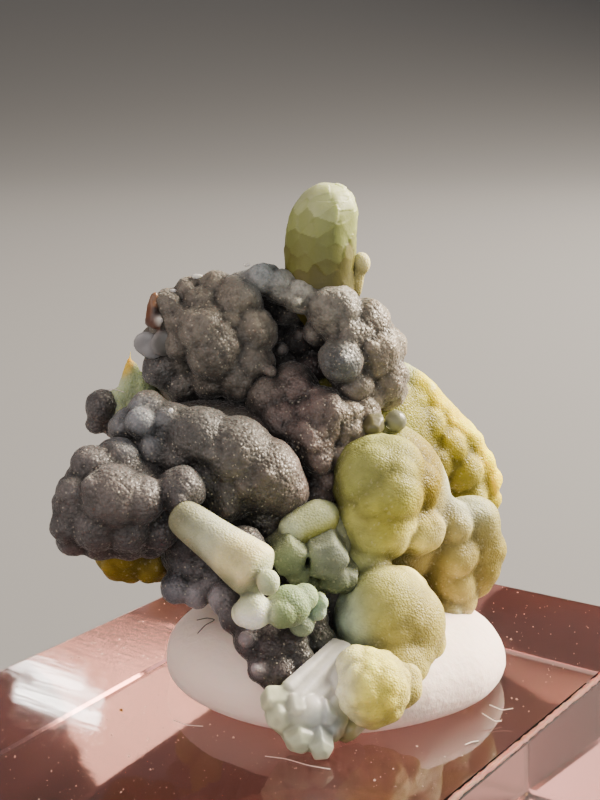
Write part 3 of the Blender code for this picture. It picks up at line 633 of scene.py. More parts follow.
GREEN_BALLS = [row[:4] for row in GREEN_LOBES] + [(*row[:3], min(row[3:])) for row in GREEN_CORE]
shapes = [dome(row, 0.15, rng) for row in GREEN_LOBES] + [ellipsoid(row) for row in GREEN_CORE]
shapes += [crystal((4.72, -1.6, 13.0, 4.72, -1.9, 16.95, 1.25, 1.12, 7), rng, 4.5, 0.4)]
shapes += [crystal((3.75, -2.4, 13.2, 3.75, -2.6, 16.7, 0.95, 0.85, 7), rng, 5.0, 0.5)]
grown(
    "frosted_green_lobes", shapes, 0.078 * COARSE, frosted, GREEN_BALLS + CRUST_BALLS,
    ((0.42, 0.022), (0.16, 0.02)), GREEN_STAINS, 61, 6,
)
shapes = [dome(row, 0.25, rng) for row in OLIVE_LOBES]
grown(
    "olive_underside", shapes, 0.085 * COARSE, frosted, CRUST_BALLS, ((0.4, 0.022), (0.2, 0.014)),
    OLIVE_STAINS, 65,
)

# The crystal on the ridge.
# A stout pyromorphite crystal, like a fingertip, that stands up from the crust behind the ridge, with
# a small one at its side. Its growth zones run from olive at the foot to mint at the tip.

FINGER_FOOT = np.array([-1.2, -0.6, 23.15])
FINGER_RADIUS = 1.43
# Heights of the rows of facets over the foot, and how many facets go round in each row.
FACET_ROWS = (
    (0.9, 8), (1.7, 10), (2.25, 11), (2.75, 11), (3.25, 11), (3.75, 11), (4.2, 10), (4.6, 9), (4.95, 8),
    (5.25, 7), (5.5, 5), (5.68, 3),
)
touch, normals = [], []
for index, (height, count) in enumerate(FACET_ROWS):
    turn = 0.29 * index + np.arange(count) * 2.0 * math.pi / count + rng.normal(0.0, 0.1, count)
    turn = np.append(turn, -0.17)
    at = height + rng.normal(0.0, 0.09, count + 1)
    over = np.clip((at - 3.9) / 1.86, 0.0, 0.995)
    barrel = 1.0 - 0.05 * ((at - 2.8) / 2.8) ** 2 * (over == 0.0) - 0.02 * (over > 0.0)
    wide = FINGER_RADIUS * barrel * (1.0 - over**2.4) ** (1.0 / 2.4)
    dip = over**1.4 / np.maximum(1.0 - over**2.4, 0.02) ** 0.583
    rise = 0.07 * (at - 2.8) + np.where(over > 0.0, dip, 0.0)
    ring = np.stack([np.cos(turn), np.sin(turn), 0.0 * turn], axis=1)
    worn = wide * (1.0 - rng.uniform(0.0, 0.025, count + 1))
    touch.append(ring * worn[:, None] + at[:, None] * (0.0, 0.0, 1.0))
    normals.append(ring + (rise + rng.normal(0.0, 0.05, count + 1))[:, None] * (0.0, 0.0, 1.0))
touch.append(np.array([[0.0, 0.0, 5.74], [0.0, 0.0, 0.0]]))
normals.append(np.array([[0.1, 0.0, 1.0], [0.0, 0.0, -1.0]]))
touch, normals = np.concatenate(touch), unit(np.concatenate(normals))
middle = np.array([0.0, 0.0, 2.9])
body = cut_body(middle, can(130, 40, 150, FINGER_RADIUS, 2.9), touch, normals, 22.0)
# The skin is tiled with small flat scales: each point goes with the nearest scale, which lies a little
# higher or lower than its neighbours and leans its own way.
points = body[0]
scale = np.argmin(((points[:, None] - touch[None, :-2]) ** 2).sum(axis=-1), axis=1)
step = rng.uniform(-0.012, 0.02, len(touch))[scale]
lean = np.clip(rng.normal(0.0, 0.045, touch.shape), -0.06, 0.06)[scale]
points = points + normals[scale] * (step + np.einsum("ij,ij->i", points - touch[scale], lean))[:, None]
zone = (touch[scale, 2] + rng.normal(0.0, 0.1, len(touch))[scale] + FINGER_FOOT[2]) * MM
points[:, :2] *= np.clip(0.35 + 0.65 * points[:, 2:] / 1.1, 0.35, 1.0)
points[:, 0] += 0.34 * np.clip((points[:, 2] - 3.6) / 2.1, 0.0, 1.0) ** 1.5
points += FINGER_FOOT
finger = new_mesh("ridge_crystal", placed(points), (body[1], body[2]))
finger.data.attributes.new("zone", "FLOAT", "POINT").data.foreach_set("value", zone)
finger.data.shade_smooth()

# Pyromorphite: resinous, see-through only at thin edges, zoned in bands one above another, whose
# borders step up and down with the scales.
zoned, tree, shader = new_finish(
    "zoned_pyromorphite", Roughness=0.5, IOR=1.6, Subsurface_Weight=0.75, Subsurface_Scale=0.0006,
    Subsurface_Radius=(0.9, 1.0, 0.4), Specular_IOR_Level=0.4,
)
place = add_node(tree, "TexCoord").outputs["Object"]
level = add_node(tree, "Attribute", attribute_name="zone")
cloud = add_node(tree, "TexNoise", {"Vector": place, "Scale": 1200.0, "Detail": 5.0})
wavy = add_node(tree, "Math", (cloud, 0.0006, level.outputs["Fac"]), operation="MULTIPLY_ADD")
height = add_node(tree, "MapRange", (wavy, 0.0249, 0.0299, 0.0, 1.0))
zones = add_node(tree, "ValToRGB", (height,))
ramp = zones.color_ramp
ramp.elements[0].position, ramp.elements[0].color = 0.0, linear("#514c16")
ramp.elements[1].position, ramp.elements[1].color = 1.0, linear("#bcc296")
for position, code in (
    (0.27, "#5e5b1c"), (0.31, "#6f7234"), (0.45, "#747a3c"), (0.49, "#87904f"), (0.64, "#8f985c"),
    (0.68, "#acb580"),
):
    ramp.elements.new(position).color = linear(code)
tree.links.new(zones.outputs["Color"], shader.inputs["Base Color"])
grain = add_node(tree, "TexNoise", {"Vector": place, "Scale": 7000.0, "Detail": 4.0})
relief = add_node(tree, "Bump", {"Height": grain, "Strength": 0.35, "Distance": 0.00004})
tree.links.new(relief.outputs["Normal"], shader.inputs["Normal"])
fixed(finger, zoned, "plumbogummite_specimen")

# The small one at its side is paler, a drop of cream green.
SIDE_STAINS = ((0.45, -0.9, 26.2, 0.4, "#b4b084"), (0.15, -0.9, 25.3, 0.4, "#9c9560"))
shapes = [crystal((-0.05, -0.6, 24.4, 0.34, -0.62, 26.05, 0.4, 0.34, 8), rng, 10.0, 0.9)]
shapes += [ellipsoid((0.36, -0.64, 25.8, 0.35, 0.36, 0.44))]
grown(
    "side_crystal", shapes, 0.05 * COARSE, frosted, CRUST_BALLS, ((0.25, 0.01), (0.12, 0.006)), SIDE_STAINS, 69,
)

# The mint crystals.
# A rounded crystal that lies across the front, with small balls, a cup-shaped one and stubby ones in
# the hollow beside it. Paler and more see-through than the lobes.

MINT_RODS = (
    (-6.5, -7.2, 17.95, -3.15, -9.05, 15.98, 0.62, 1.06, 9),
    (-3.7, -8.6, 15.95, -3.3, -9.3, 15.75, 0.55, 0.5, 6),
)
MINT_BALLS = (
    (-3.62, -9.15, 14.86, 0.66, 0.6, 0.64), (-3.9, -8.9, 14.7, 0.5, 0.5, 0.5),
    (-3.08, -9.6, 16.08, 0.4, 0.4, 0.46), (-2.4, -8.75, 14.9, 0.78, 0.7, 0.76),
    (-2.62, -9.2, 14.8, 0.54, 0.5, 0.54), (-1.85, -8.4, 15.1, 0.5, 0.5, 0.5),
    (-1.95, -8.1, 13.95, 0.46, 0.46, 0.42), (-1.35, -7.9, 14.35, 0.3, 0.3, 0.3),
)
MINT_BLOCKS = (
    (-2.6, -4.6, 16.25, -2.3, -7.25, 15.95, 0.66, 0.58, 5),
    (-2.2, -4.6, 15.3, -2.1, -7.05, 15.35, 0.46, 0.4, 5),
    (-1.25, -4.4, 16.15, -1.0, -7.2, 15.85, 0.72, 0.66, 5),
    (-0.7, -4.4, 15.2, -0.75, -6.9, 15.1, 0.6, 0.52, 6), (-1.5, -4.6, 14.8, -1.4, -6.6, 14.8, 0.5, 0.44, 6),
    (-0.3, -4.8, 15.2, -0.35, -6.6, 14.9, 0.5, 0.45, 6),
    (-1.45, -7.6, 14.85, -1.1, -8.1, 14.6, 0.26, 0.2, 5),
)
# The darker olive along the underside of the lying crystal and low among the stubby blocks is painted shade.
MINT_STAINS_AND_SHADE = (
    (-6.6, -8.0, 18.0, 0.8, "#77785f"), (-5.4, -8.8, 17.7, 0.8, "#aaae95"),
    (-4.4, -9.6, 17.1, 0.7, "#d1c998"), (-3.9, -10.0, 16.1, 0.36, "#e6cf9e"),
    (-3.1, -10.2, 16.3, 0.6, "#a8b393"), (-4.1, -9.4, 15.6, 0.6, "#82896c"),
    (-3.8, -9.9, 14.9, 0.6, "#eff5d9"), (-2.6, -9.8, 14.8, 0.45, "#708059"),
    (-1.9, -8.7, 15.3, 0.5, "#788a68"), (-2.0, -8.4, 13.7, 0.6, "#77836c"),
    (-1.2, -7.9, 14.4, 0.4, "#93a792"), (-2.3, -7.5, 15.9, 0.6, "#778163"),
    (-1.0, -7.4, 15.9, 0.6, "#707868"), (-1.4, -7.0, 14.7, 0.6, "#59634a"),
    (-1.75, -7.2, 15.7, 0.25, "#525e40"), (-5.6, -8.0, 17.0, 0.6, "#77795e"),
)
shapes = [crystal(row, rng, 8.0, 0.4, 0.03) for row in MINT_RODS] + [ellipsoid(row) for row in MINT_BALLS]
shapes += [crystal(row, rng, 40.0, 0.3) for row in MINT_BLOCKS]
shapes += [ellipsoid((-1.3, -4.4, 16.0, 1.4, 1.7, 1.4))]
grown(
    "mint_crystals", shapes, 0.068 * COARSE, frosted, GREEN_BALLS + CRUST_BALLS,
    ((0.3, 0.012), (0.15, 0.008)), MINT_STAINS_AND_SHADE, 71,
)

# The cup: a pale shell with an olive inside that faces the front.
CUP_STAINS = (
    (-2.4, -7.0, 17.0, 0.5, "#a9b398"), (-3.1, -6.8, 16.6, 0.4, "#98a286"),
    (-1.5, -6.3, 17.6, 0.5, "#a4ac84"), (-1.9, -6.9, 16.3, 0.4, "#85864e"),
    (-2.7, -6.8, 16.0, 0.3, "#878c62"), (-1.2, -6.2, 16.4, 0.5, "#8c8c48"),
)
shapes = [
    crystal((-2.7, -6.0, 16.5, -0.6, -5.0, 17.25, 0.72, 0.9, 9), rng, 7.0, 0.7, 0.04),
    crystal((-2.5, -5.7, 16.0, -0.6, -5.0, 16.4, 0.7, 0.86, 6), rng, 24.0, 0.6, 0.04),
]
grown(
    "cup_crystal", shapes, 0.06 * COARSE, frosted, GREEN_BALLS + CRUST_BALLS, ((0.3, 0.01), (0.15, 0.008)),
    CUP_STAINS, 75,
)

# The white tip.
# Near-clear crystals laid side by side that reach down to the base, and the yellow-green ball that
# has grown over them.

TIP_CRYSTALS = (
    (-0.3, -7.6, 12.95, -2.15, -9.85, 11.85, 0.32, 0.28, 6),
    (-0.05, -7.8, 12.6, -1.9, -10.0, 11.45, 0.34, 0.3, 6),
    (0.2, -8.0, 12.2, -1.55, -10.15, 11.05, 0.38, 0.36, 6),
    (0.3, -8.2, 11.6, -1.2, -10.1, 10.65, 0.44, 0.42, 6),
    (-0.55, -7.4, 12.9, -2.55, -9.6, 12.05, 0.34, 0.28, 6),
    (0.5, -8.2, 11.0, -0.6, -9.7, 10.45, 0.5, 0.44, 6),
    (-2.75, -9.4, 11.9, -2.6, -10.2, 11.05, 0.5, 0.48, 6),
    (-2.4, -9.5, 11.1, -1.95, -10.35, 10.55, 0.52, 0.46, 6),
    (-1.8, -9.6, 10.8, -1.35, -10.3, 10.25, 0.46, 0.4, 6),
    (-1.35, -9.4, 11.5, -1.15, -10.2, 11.0, 0.55, 0.5, 6),
)
TIP_ENDS = (
    (-2.88, -9.3, 12.0, -2.78, -10.05, 11.5, 0.46, 0.44, 5),
    (-2.62, -9.5, 11.4, -2.42, -10.35, 11.0, 0.58, 0.52, 5),
    (-2.1, -9.6, 10.95, -1.96, -10.85, 10.52, 0.58, 0.44, 6),
    (-1.5, -9.6, 10.8, -1.24, -11.05, 10.38, 0.54, 0.34, 5),
    (-0.95, -9.1, 11.1, -0.76, -10.05, 10.76, 0.52, 0.44, 6),
    (-2.2, -9.6, 11.9, -2.05, -10.35, 11.4, 0.38, 0.34, 6),
)
# The grey-blue low on the front ends and the olive at the bottom, under the ball, are painted shade.
TIP_STAINS_AND_SHADE = (
    (-2.9, -10.4, 11.7, 0.5, "#dde3c4"), (-2.3, -10.8, 11.0, 0.5, "#d3dcbe"),
    (-1.5, -10.8, 10.3, 0.45, "#ccd6be"), (-1.6, -9.8, 12.0, 0.4, "#fbfbf6"),
    (-0.6, -8.8, 12.7, 0.5, "#fbfaf2"), (-1.2, -10.4, 11.2, 0.45, "#bcc7c4"),
    (-0.4, -9.6, 10.4, 0.5, "#9a986a"), (0.2, -8.8, 11.9, 0.6, "#ecebd2"),
    (-2.1, -10.2, 11.7, 0.35, "#e6eadc"),
)
# Milky pyromorphite: crystal ends thin enough to see into. A third of the light goes straight through,
# and most of the rest is scattered inside.
milky, tree, shader = new_finish(
    "milky_pyromorphite", Roughness=0.36, IOR=1.55, Subsurface_Weight=0.55, Subsurface_Scale=0.00025,
    Subsurface_Radius=(1.0, 1.0, 0.85), Transmission_Weight=0.35,
)
place = add_node(tree, "TexCoord").outputs["Object"]
cloud = add_node(tree, "TexNoise", {"Vector": place, "Scale": 1400.0, "Detail": 5.0})
# Painted shade: the tint is darker in the creases between the columns and a little lighter on their rounded
# faces.
shaded = stained_and_shaded(tree, cloud, (("cloud", 0.3, 0.7, 0.82, 1.15), ("crease", -0.25, 0.25, 1.1, 0.76)))
tree.links.new(shaded.outputs[0], shader.inputs["Base Color"])
relief = add_node(tree, "Bump", {"Height": cloud, "Strength": 0.4, "Distance": 0.00008})
tree.links.new(relief.outputs["Normal"], shader.inputs["Normal"])
shapes = [crystal(row, rng, 60.0, 0.5) for row in TIP_CRYSTALS + TIP_ENDS]
shapes += [ellipsoid((-0.6, -7.6, 11.9, 1.0, 1.8, 1.0)), ellipsoid((-1.9, -9.6, 11.2, 1.1, 0.9, 0.86))]
grown(
    "white_tip", shapes, 0.054 * COARSE, milky, GREEN_BALLS, ((0.25, 0.006), (0.12, 0.005)), TIP_STAINS_AND_SHADE, 81, 0,
)

BALL_ROWS = ((0.5, -8.7, 11.8, 1.42, 0.5), (1.4, -7.9, 11.6, 1.0, 0.6), (0.1, -8.5, 12.3, 0.95, 0.6))
# The olive low on its underside is painted shade.
BALL_STAINS_AND_SHADE = (
    (-0.6, -9.6, 12.2, 0.6, "#e8e7c4"), (0.4, -10.2, 12.3, 0.8, "#d8d26c"),
    (0.9, -10.2, 11.8, 0.8, "#ccc048"), (1.8, -9.2, 11.7, 0.7, "#aaa05a"),
    (0.7, -9.9, 10.8, 0.7, "#a39c52"), (-0.3, -9.6, 11.0, 0.6, "#cecda6"),
)
shapes = [dome(row, 0.13, rng) for row in BALL_ROWS]
grown(
    "yellow_green_ball", shapes, 0.06 * COARSE, frosted, GREEN_BALLS, ((0.34, 0.022), (0.15, 0.018)),
    BALL_STAINS_AND_SHADE, 85,
)

# The chips, clear beads and painted glints.
# Where the crust has broken at the left it shows grey-white and orange-brown; a few clear flakes and
# beads lie on it, and a yellow-green crystal end stands out beside one. The smallest flakes are coloured
# near white as painted glints.

CHIPS_AND_GLINT_FLAKES = (
    (-7.82, -2.15, 22.96, 0.5, 0.14, 0.46), (-7.62, -2.2, 22.74, 0.5, 0.14, 0.36),
    (-7.16, -2.4, 23.02, 0.46, 0.14, 0.52), (-6.8, -1.75, 24.92, 0.16, 0.12, 0.08),
    (-5.9, -1.45, 25.42, 0.26, 0.14, 0.09), (-4.02, -1.4, 25.86, 0.15, 0.1, 0.08),
    (-7.25, -2.45, 23.9, 0.11, 0.08, 0.13), (-6.66, -5.42, 21.12, 0.11, 0.1, 0.11),
    (1.65, -2.45, 20.0, 0.42, 0.42, 0.42),
)
CHIP_CRYSTALS = (
    (-7.6, -2.15, 23.6, -7.52, -2.1, 24.6, 0.26, 0.2, 5),
    (-7.42, -2.35, 23.55, -7.38, -2.2, 24.2, 0.2, 0.22, 5),
    (-7.64, -2.05, 24.2, -7.44, -2.0, 24.9, 0.18, 0.14, 5),
    (0.7, -2.4, 20.05, 0.75, -3.45, 19.85, 0.46, 0.42, 6),
    (0.2, -2.6, 20.6, 0.15, -3.25, 20.5, 0.26, 0.22, 5),
)
# Near-white spots on the small flakes are painted glints.
CHIP_STAINS_AND_GLINTS = (
    (-7.55, -2.2, 24.7, 0.2, "#8f6a50"), (-7.7, -2.3, 24.2, 0.14, "#7e4e30"),
    (-7.42, -2.4, 24.15, 0.16, "#2e1d18"), (-7.5, -2.4, 23.75, 0.2, "#5e3a2a"),
    (-7.9, -2.2, 22.9, 0.4, "#a2a3a6"), (-7.2, -2.4, 23.0, 0.3, "#5f5e5b"),
    (-6.8, -1.8, 24.95, 0.2, "#f4f4f0"), (-5.9, -1.5, 25.45, 0.25, "#e6e8e6"),
    (-4.02, -1.4, 25.88, 0.2, "#f6f4ee"), (-7.25, -2.5, 23.92, 0.15, "#f0ece6"),
    (-6.66, -5.5, 21.15, 0.2, "#f2f2f0"), (1.65, -2.8, 20.05, 0.4, "#84866e"),
    (0.75, -3.4, 19.85, 0.4, "#66623e"), (0.15, -3.2, 20.5, 0.3, "#6a6453"),
)
shapes = [ellipsoid(row, 20) for row in CHIPS_AND_GLINT_FLAKES] + [crystal(row, rng, 40.0, 0.9) for row in CHIP_CRYSTALS]
grown(
    "chips_beads_and_glints", shapes, 0.05, milky, CRUST_BALLS, ((0.22, 0.012), (0.11, 0.01)), CHIP_STAINS_AND_GLINTS, 87, 1,
)

# The yellow mass behind.
# Massive yellow-green pyromorphite that carries the crust: flat-sided columns on the right, which
# show past the crust, and short six-sided crystals all over the back.

YELLOW_EDGE = (
    (2.0, 1.3, 21.05, 0.52, 0.3), (2.6, 1.3, 20.65, 0.58, 0.3), (3.15, 1.4, 20.05, 0.6, 0.3),
    (3.75, 1.5, 19.35, 0.62, 0.3), (4.35, 1.6, 18.7, 0.6, 0.3), (4.95, 1.7, 18.0, 0.64, 0.3),
    (5.45, 1.8, 17.2, 0.64, 0.3), (5.75, 1.8, 16.4, 0.62, 0.3), (5.75, 1.8, 15.6, 0.6, 0.3),
)
YELLOW_LOBES = (
    (2.35, 1.0, 20.0, 0.8, 0.38), (3.1, 1.0, 18.95, 0.88, 0.38), (3.9, 1.0, 18.0, 0.9, 0.38),
    (4.6, 1.1, 17.0, 0.9, 0.38), (4.8, 1.2, 15.9, 0.9, 0.38), (3.3, 0.5, 17.5, 0.85, 0.38),
    (4.2, 1.9, 15.2, 1.2, 0.5), (-8.3, 1.0, 19.8, 0.8, 0.5), (-7.4, 0.9, 19.0, 1.5, 0.6),
)
LEFT_CRYSTALS = (
    (-8.98, 0.3, 19.7, -8.66, 0.5, 21.8, 0.58, 0.24, 6), (-8.35, 0.3, 19.8, -8.2, 0.5, 21.3, 0.55, 0.45, 6),
    (-9.05, 0.25, 20.9, -8.66, 0.45, 22.3, 0.11, 0.07, 5),
    (-9.35, 0.0, 19.2, -9.25, 0.2, 20.7, 0.5, 0.36, 6),
)
YELLOW_CORE = (
    (-3.6, 2.3, 20.4, 4.1, 1.8, 3.4), (-1.6, 1.0, 17.4, 5.4, 2.8, 5.0), (3.2, 1.6, 17.6, 1.5, 1.3, 2.4),
)
YELLOW_STAINS = (
    (2.2, 1.0, 21.2, 0.5, "#9ea477"), (3.0, 0.9, 20.9, 0.4, "#d2c400"), (2.4, 0.4, 20.0, 0.6, "#827d22"),
    (3.7, 1.0, 20.1, 0.45, "#dcc800"), (3.1, 0.4, 18.9, 0.6, "#756d18"), (4.4, 1.1, 19.2, 0.45, "#dcc400"),
    (3.9, 0.5, 18.4, 0.5, "#8f8214"), (5.0, 1.4, 18.6, 0.35, "#dccc30"), (4.6, 0.7, 17.5, 0.6, "#80761e"),
    (5.8, 1.4, 17.5, 0.5, "#e6cc00"), (6.2, 1.5, 16.5, 0.5, "#eccc00"), (5.2, 0.9, 16.4, 0.6, "#958d3c"),
    (3.3, -0.2, 17.4, 0.8, "#665c1c"), (4.6, 0.6, 15.9, 0.8, "#7c7630"), (5.6, 1.4, 15.4, 0.7, "#a89c30"),
    (3.3, 1.0, 20.6, 0.14, "#dedcb0"), (-8.8, 0.2, 22.2, 0.28, "#d09c18"),
    (-9.1, 0.1, 21.5, 0.25, "#c9a93a"), (-9.2, -0.2, 20.4, 0.6, "#b0bd98"),
    (-8.4, -0.2, 20.6, 0.6, "#93a37c"), (-9.5, -0.4, 19.6, 0.3, "#dfe3da"),
    (-1.6, 4.2, 17.6, 4.0, "#8f9046"), (-5.0, 3.4, 17.0, 1.6, "#a09c4c"), (1.6, 3.6, 17.4, 1.6, "#7a874a"),
    (-1.8, 3.6, 13.6, 1.8, "#776d38"),
)
BACK_CENTRE = np.array([-2.2, 1.0, 17.9])
BACK_RADII = np.array([5.2, 3.1, 5.2])
shapes = [dome(row, 0.16, rng) for row in YELLOW_EDGE + YELLOW_LOBES]
shapes += [ellipsoid(row) for row in YELLOW_CORE]
shapes += [crystal(row, rng, 16.0, 0.3) for row in LEFT_CRYSTALS]
back_rng = np.random.default_rng(11)
# Rough crystals lie side by side along the right edge.
for near, far in zip(YELLOW_EDGE[:-2], YELLOW_EDGE[2:]):
    for _ in range(2):
        offset = back_rng.normal(0.0, 0.12, 3)
        wide = back_rng.uniform(0.42, 0.58)
        ends = *(np.array(near[:3]) + offset), *(np.array(far[:3]) - offset)
        shapes.append(crystal((*ends, wide, wide, 5), rng, 24.0, 0.8))
for way in spread(130):
    way = way + back_rng.normal(0.0, 0.09, 3)
    way /= np.linalg.norm(way)
    middle = BACK_CENTRE + way * BACK_RADII * back_rng.uniform(0.95, 1.02)
    lean = way + back_rng.normal(0.0, 0.22, 3)
    lean /= np.linalg.norm(lean)
    wide = back_rng.uniform(0.32, 0.85)
    long = back_rng.uniform(0.45, 1.1)
    swell = back_rng.uniform(0.7, 1.25)
    if way[1] < 0.15 or way[2] < -0.85 or middle[2] + 1.2 * middle[0] > 22.0:
        continue
    shapes.append(dome((*(middle - 0.35 * way), swell, 0.6), 0.25, rng, 24))
    if way[1] > 0.35:
        foot = middle + 0.1 * lean
        ends = *(foot - lean), *(foot + lean * long)
        shapes.append(crystal((*ends, wide, wide * 0.9, 6), rng, 30.0, 0.15))
grown(
    "yellow_mass", shapes, 0.104 * COARSE, frosted, CRUST_BALLS + GREEN_BALLS, ((0.4, 0.022), (0.2, 0.014)),
    YELLOW_STAINS, 91,
)

# The chipped edge.
# The upper edge of the block at the right is bruised along its length: small shell-shaped chips that
# scatter light, so the edge shows as a ragged pale pink line.

EDGE_MM = (9.82, 9.83)
EDGE_HALF_MM = 14.6
EDGE_GRID = (560, 8)
run = np.linspace(-EDGE_HALF_MM, EDGE_HALF_MM, EDGE_GRID[0])
edge_rng = np.random.default_rng(3)
rough = 0.0
for chips, least, most in ((90, 0.05, 0.11), (400, -0.012, 0.012)):
    rough += np.interp(run, np.linspace(-15.0, 15.0, chips), edge_rng.uniform(least, most, chips))
turn = turns(EDGE_GRID[1])
grid = np.zeros((*EDGE_GRID, 3))
grid[..., 0] = EDGE_MM[0] - rough[:, None] * np.cos(turn)
grid[..., 1] = run[:, None]
grid[..., 2] = EDGE_MM[1] + rough[:, None] * np.sin(turn)
points, quads, fans = rings(grid)
edge = new_mesh("chipped_edge", points * MM, (quads, fans))
# Bruised acrylic: the same plastic full of fine cracks, so light scatters near the surface.
bruised, tree, shader = new_finish(
    "bruised_acrylic", Base_Color=linear("#cfa59c"), Roughness=0.45, IOR=1.49, Subsurface_Weight=0.6,
    Subsurface_Scale=0.0004,
)
fixed(edge, bruised, None)

# Dust and lint.
# Specks of pale dust, one gilt fleck and a few fibres that have settled on the block, the putty and
# the stone.


def thread(path, thick, sides=8):
    """A round thread: the path eased into a curve, and a ring of this radius square to it at every
    step."""
    line = eased(path, 14 * len(path), 20)
    along = unit(np.gradient(line, axis=0))
    side = unit(np.cross(along, (0.31, 0.22, 0.93)))
    over = np.cross(along, side)
    turn = turns(sides)[None, :, None]
    return rings(line[:, None] + thick * (np.cos(turn) * side[:, None] + np.sin(turn) * over[:, None]))


dust_rng = np.random.default_rng(8)
spots = dust_rng.uniform((-9.3, -14.6), (9.2, 14.6), (1000, 2))
c, s = math.cos(TURN), math.sin(TURN)
flat = (spots - SHIFT_MM[:2]) @ np.array([[c, -s], [s, c]])
spots = spots[np.sum(((flat - PUTTY_CENTRE) / (PUTTY_HALF + 0.1)) ** 2, axis=1) > 1.0]
size = 0.014 + 0.036 * dust_rng.random(len(spots)) ** 5
corner = np.array([[1, 0, 0], [0, 1, 0], [-1, 0, 0], [0, -1, 0], [0, 0, 1], [0, 0, -1]], float)
shape = corner[None] * size[:, None, None] * dust_rng.uniform(0.5, 1.4, (len(spots), 1, 3))
centre = np.column_stack([spots, np.full(len(spots), BASE_TOP_MM + 0.01)])
points = (centre[:, None] + shape).reshape(-1, 3)
facet = np.array([[0, 1, 4], [1, 2, 4], [2, 3, 4], [3, 0, 4], [1, 0, 5], [2, 1, 5], [3, 2, 5], [0, 3, 5]])
facets = (facet[None] + 6 * np.arange(len(spots))[:, None, None]).reshape(-1, 3)
dust = new_mesh("dust", points * MM, (facets,))
# House dust: matt, pale beige.
dusty, tree, shader = new_finish("dust", Base_Color=linear("#d9c4b4"), Roughness=0.9)
fixed(dust, dusty, None)

PALE_THREADS = (
    ((-3.21, -10.39, 10.03), (-2.5, -10.62, 10.05), (-1.7, -11.1, 10.03), (-0.98, -11.37, 10.03)),
    ((3.8, -9.5, 10.03), (4.05, -9.3, 10.04), (4.3, -9.2, 10.03)),
    ((-9.75, 0.1, 20.62), (-9.35, 0.0, 20.72), (-8.95, -0.1, 20.6)),
    ((4.9, -7.3, 10.55), (5.35, -7.45, 10.4), (5.75, -7.4, 10.45)),
    ((4.6, -7.6, 10.35), (5.05, -7.85, 10.15), (5.3, -7.75, 10.12)),
    ((-6.6, -7.5, 10.04), (-6.1, -7.95, 10.05), (-5.5, -8.0, 10.03)),
)
threads = joined([thread(path, 0.016) for path in PALE_THREADS])
lint_piece = new_mesh("pale_fibres", placed(threads[0]), threads[1:])
lint_piece.data.shade_smooth()
# Cotton fibre: white, matt.
cotton, tree, shader = new_finish("cotton_fibre", Base_Color=linear("#efe4da"), Roughness=0.8)
fixed(lint_piece, cotton, None)

CURL = (
    (-5.95, -4.05, 12.56), (-5.55, -3.9, 12.6), (-5.22, -4.1, 12.6), (-5.6, -4.45, 12.52),
    (-5.86, -4.95, 12.38),
)
curl = thread(CURL, 0.017)
hair = new_mesh("dark_hair", placed(curl[0]), curl[1:])
hair.data.shade_smooth()
# A dark hair: brown-black, with a slight shine.
dark, tree, shader = new_finish("dark_hair", Base_Color=linear("#2a211d"), Roughness=0.5)
fixed(hair, dark, None)

GILT = (((-8.66, -6.6, 10.02), (-8.58, -6.66, 10.06)), ((-8.56, -6.72, 10.02), (-8.6, -6.6, 10.04)))
gilt = joined([thread((a, b), 0.05, 4) for a, b in GILT])
fleck = new_mesh("gilt_fleck", placed(gilt[0]), gilt[1:])
# A fleck of brass: polished yellow metal.
brass, tree, shader = new_finish("brass", Base_Color=linear("#e8bf5e"), Metallic=1.0, Roughness=0.25)
fixed(fleck, brass, None)

# Floor, light and camera.
# A plain pale sweep: level under the base, curving up far behind it. A warm lamp stands on the right,
# behind and above; a large soft one fills from the left, and a window shows in the polished top.

# In metres: half its width, where it starts and ends, where it starts to bend, and how high it rises.
FLOOR_HALF, FLOOR_FROM, FLOOR_TO, BEND_FROM, BEND_HEIGHT = 0.6, -0.3, 0.9, 0.35, 0.35
FLOOR_ROWS = 60
across = np.array([-FLOOR_HALF, FLOOR_HALF])
run = np.linspace(FLOOR_FROM, FLOOR_TO, FLOOR_ROWS)
bend = np.sqrt(np.clip(1.0 - ((run - BEND_FROM) / (FLOOR_TO - BEND_FROM)) ** 2, 0.0, 1.0))
rise = np.where(run > BEND_FROM, BEND_HEIGHT * (1.0 - bend), 0.0)
sweep = np.stack(
    [
        across[None] * c - run[:, None] * s, across[None] * s + run[:, None] * c,
        rise[:, None] + 0.0 * across[None] - 0.00002,
    ],
    axis=-1,
).reshape(-1, 3)
n = np.arange(FLOOR_ROWS - 1)
floor = new_mesh("floor", sweep, (np.stack([2 * n, 2 * n + 1, 2 * n + 3, 2 * n + 2], axis=1),))
floor.data.shade_smooth()
paper, tree, shader = new_finish("pale_paper", Base_Color=linear("#65676a"), Roughness=0.9)
floor.data.materials.append(paper)


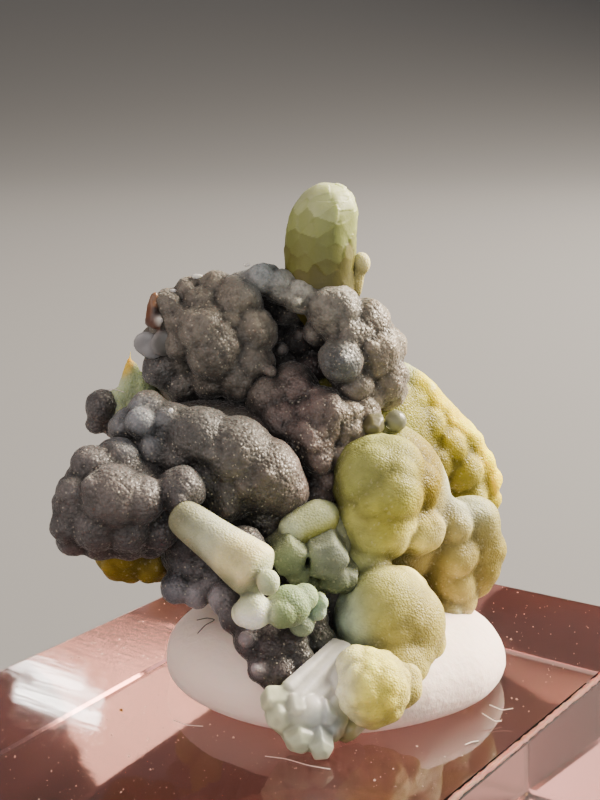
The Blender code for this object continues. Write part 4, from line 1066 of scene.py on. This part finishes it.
def stand_at(across_mm, depth_mm, up_mm):
    """A place given as the stone is seen, in metres on the base."""
    return Vector(placed(np.array([[across_mm, depth_mm, up_mm]]))[0])


for name, spot, wide, tall, roll, power, color in (
    ("window_light", (300.0, 145.0, 250.0), 0.2, 0.2, 0.0, 12.0, "#ffeed8"),
    ("soft_fill", (-340.0, -240.0, 245.0), 0.44, 0.44, 0.0, 1.6, "#f6e0d6"),
    ("low_front", (80.0, -440.0, 100.0), 0.32, 0.32, 0.0, 0.7, "#f8f4f2"),
    ("window_pane", (-84.0, 420.0, 202.0), 0.03, 0.003, -24.0, 0.016, "#fff6ee"),
    ("window_bar", (-80.0, 420.0, 196.0), 0.024, 0.0015, -24.0, 0.006, "#fff6ee"),
    ("window_sill", (-88.0, 420.0, 190.0), 0.028, 0.002, -24.0, 0.009, "#fff6ee"),
):
    lamp = bpy.data.lights.new(name, "AREA")
    lamp.shape = "RECTANGLE"
    lamp.size = wide
    lamp.size_y = tall
    lamp.energy = power
    lamp.color = linear(color)[:3]
    holder = linked(name, lamp)
    holder.location = stand_at(*spot)
    holder.rotation_mode = "QUATERNION"
    facing = (stand_at(-1.5, -2.0, 18.0) - holder.location).to_track_quat("-Z", "Y")
    holder.rotation_quaternion = facing @ Quaternion((0.0, 0.0, 1.0), math.radians(roll))

world = bpy.data.worlds.new("room")
bpy.context.scene.world = world
world.use_nodes = True
world.node_tree.nodes["Background"].inputs["Color"].default_value = linear("#d5d3d2")
world.node_tree.nodes["Background"].inputs["Strength"].default_value = 0.28

# The camera stands about 60 mm from the stone and looks 13 degrees down.
FOCAL_PIXELS, FRAME_PIXELS, LOOK_DOWN = 1522.7, 800.0, 12.94
lens = bpy.data.cameras.new("camera")
lens.sensor_width = 36.0
lens.lens = lens.sensor_width * FOCAL_PIXELS / FRAME_PIXELS
lens.clip_start = 0.001
camera = linked("camera", lens)
camera.location = stand_at(-2.0, -58.9, 33.8)
camera.rotation_euler = (math.radians(90.0 - LOOK_DOWN), 0.0, TURN)
bpy.context.scene.camera = camera
